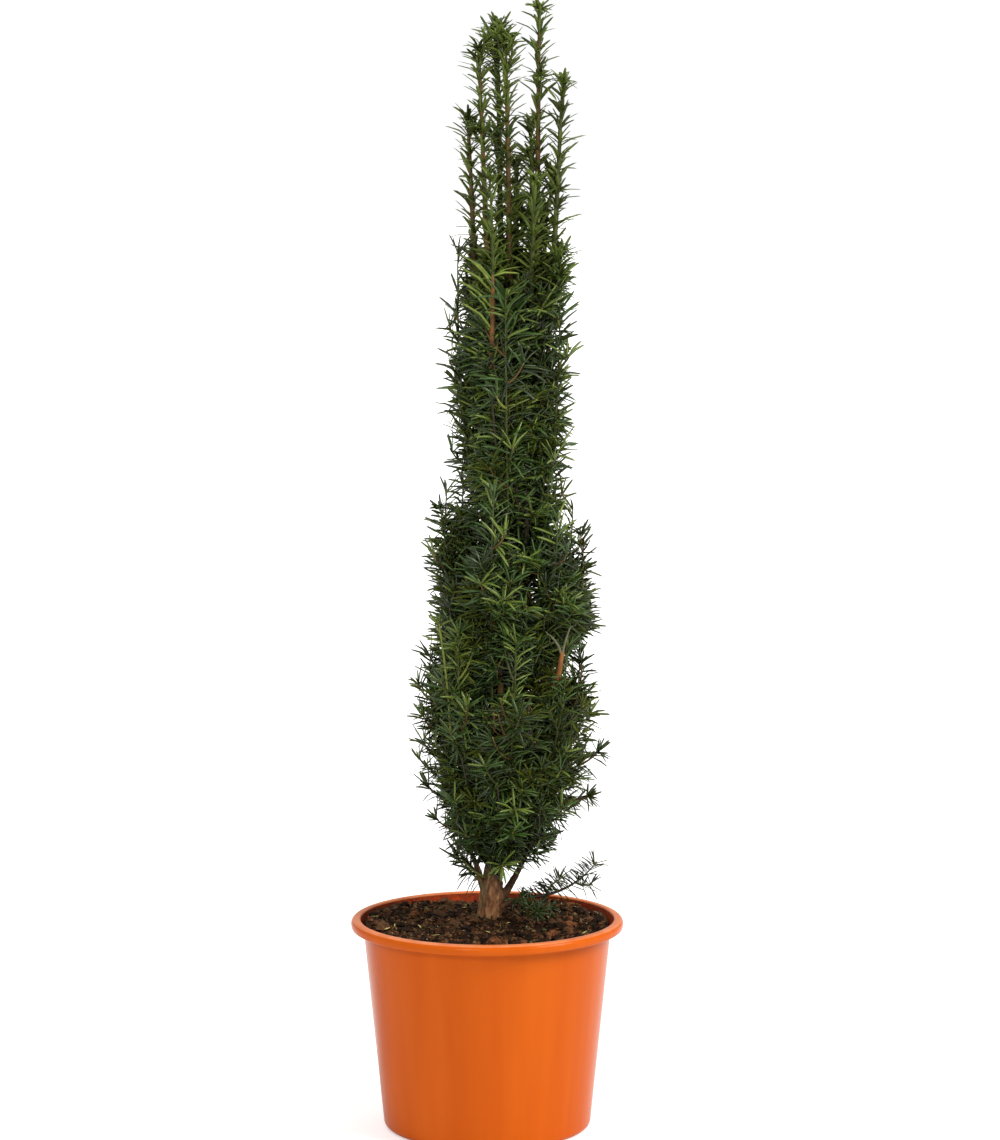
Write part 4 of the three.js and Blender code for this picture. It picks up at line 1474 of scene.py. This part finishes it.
twigStyle = {
    "sides": 6,
    "point": 1.2,
    "bud": (98, 88, 46),
    "budSize": (0.9, 1.3),
    "woods": {
        "brown": (100, 74, 38), "olive": (72, 78, 36), "green": (122, 130, 50), "orange": (136, 84, 36),
        "tan": (122, 80, 40), "grey": (112, 108, 84), "dark": (54, 44, 32),
    },
    # shares of brown, olive and green stems, on side shoots and on the masses' own stems
    "young": (0.28, 0.62, 0.1),
    "old": (0.3, 0.6, 0.1),
}


def twigMaterials():
    return [
        startMaterial(f"twig{name.capitalize()}", {
            "patch": 160.0, "grain": 900.0, "roughness": (0.55, 0.75), "specular": 0.35,
            "dark": srgb(*(0.8 * value for value in wood)),
            "light": srgb(*(1.12 * value for value in wood)),
        })[0]
        for name, wood in twigStyle["woods"].items()
    ]


def squareFrame(tangents):
    first = unitRow(np.cross(tangents, [0.31, 0.92, 0.22]))
    return first, np.cross(tangents, first)


def twigTube(shoot):
    # a ball with a ring for each point of the shoot, drawn out along it; its poles close the two ends
    points = shoot["points"]
    count = len(points)
    corners, faces = ballShape(twigStyle["sides"], count + 1)
    ring = np.round((1 - np.arccos(corners[:, 2].clip(-1, 1)) / math.pi) * (count + 1)).astype(int)
    angles = np.arctan2(corners[:, 1], corners[:, 0])[:, None]
    tangents = unitRow(np.gradient(points, axis=0))
    first, second = (way[(ring - 1).clip(0, count - 1)] for way in squareFrame(tangents))
    centres = np.vstack([points[0], points, points[-1] + tangents[-1] * twigStyle["point"]])
    tipRadius = shoot.get("tipRadius", shootStyle["tipRadius"])
    radii = np.r_[0, mix(shoot["radius"], tipRadius, np.linspace(0, 1, count) ** 1.6), 0]
    spokes = first * np.cos(angles) + second * np.sin(angles)
    return (centres[ring] + spokes * radii[ring][:, None]) * mm, faces


def growTwigs(name, shoots, seed):
    random = np.random.default_rng(seed)
    corners, faces, slots, total = [], [], [], 0
    for shoot in shoots:
        made, tube = twigTube(shoot)
        corners.append(made)
        faces.append(tube + total)
        total += len(made)
        young = shoot["order"] > 0 or shoot["mass"]["name"].startswith("leader")
        wood = random.choice(3, p=twigStyle["young" if young else "old"])
        if "wood" in shoot:
            wood = list(twigStyle["woods"]).index(shoot["wood"])
        slots.append(np.full(len(tube), wood))
    corners, faces, slots = (np.concatenate(parts) for parts in (corners, faces, slots))
    arrayPiece(name, corners, faces, slots, twigMaterials())


def growBuds(name, shoots, seed):
    shape, faces = ballShape(5, 3)
    sizes = np.random.default_rng(seed).uniform(*twigStyle["budSize"], len(shoots))
    tips = np.array([shoot["points"][-1] for shoot in shoots])
    ways = unitRow(tips - [shoot["points"][-2] for shoot in shoots])
    basis = np.stack([*squareFrame(ways), ways], 1)
    oval = shape * [1, 1, 1.9] * sizes[:, None, None]
    corners = (np.einsum("nij,nki->nkj", basis, oval) + tips[:, None]) * mm
    bud = plainMaterial("budTip", srgb(*twigStyle["bud"]), 0.6, 0.5)
    joinedCopies(name, corners, faces, np.zeros(len(tips) * len(faces)), [bud])


grown = [growShoots(index, mass) for index, mass in enumerate(plan)]
allShoots = [shoot for shoots in grown for shoot in shoots]
print(f"stage: {len(allShoots)} shoots")
# the masses that each piece of needles stands for
groups = {
    "needles_low_left": (0, 3), "needles_low_right": (3, 5), "needles_low_back": (5, 8),
    "needles_middle_front": (8, 12), "needles_middle_back": (12, 14), "needles_upper_front": (14, 17),
    "needles_upper_back": (17, 19), "needles_leaders": (19, 28), "needles_low_spray": (28, 29),
}
for i, (name, (start, stop)) in enumerate(groups.items()):
    growNeedles(name, sum(grown[start:stop], []), [mass["name"] for mass in plan[start:stop]], 21 + i)
growTwigs("twigs", allShoots, 31)
growBuds("buds", [shoot for shoot in allShoots if shoot["habit"]], 41)
print("stage: foliage")
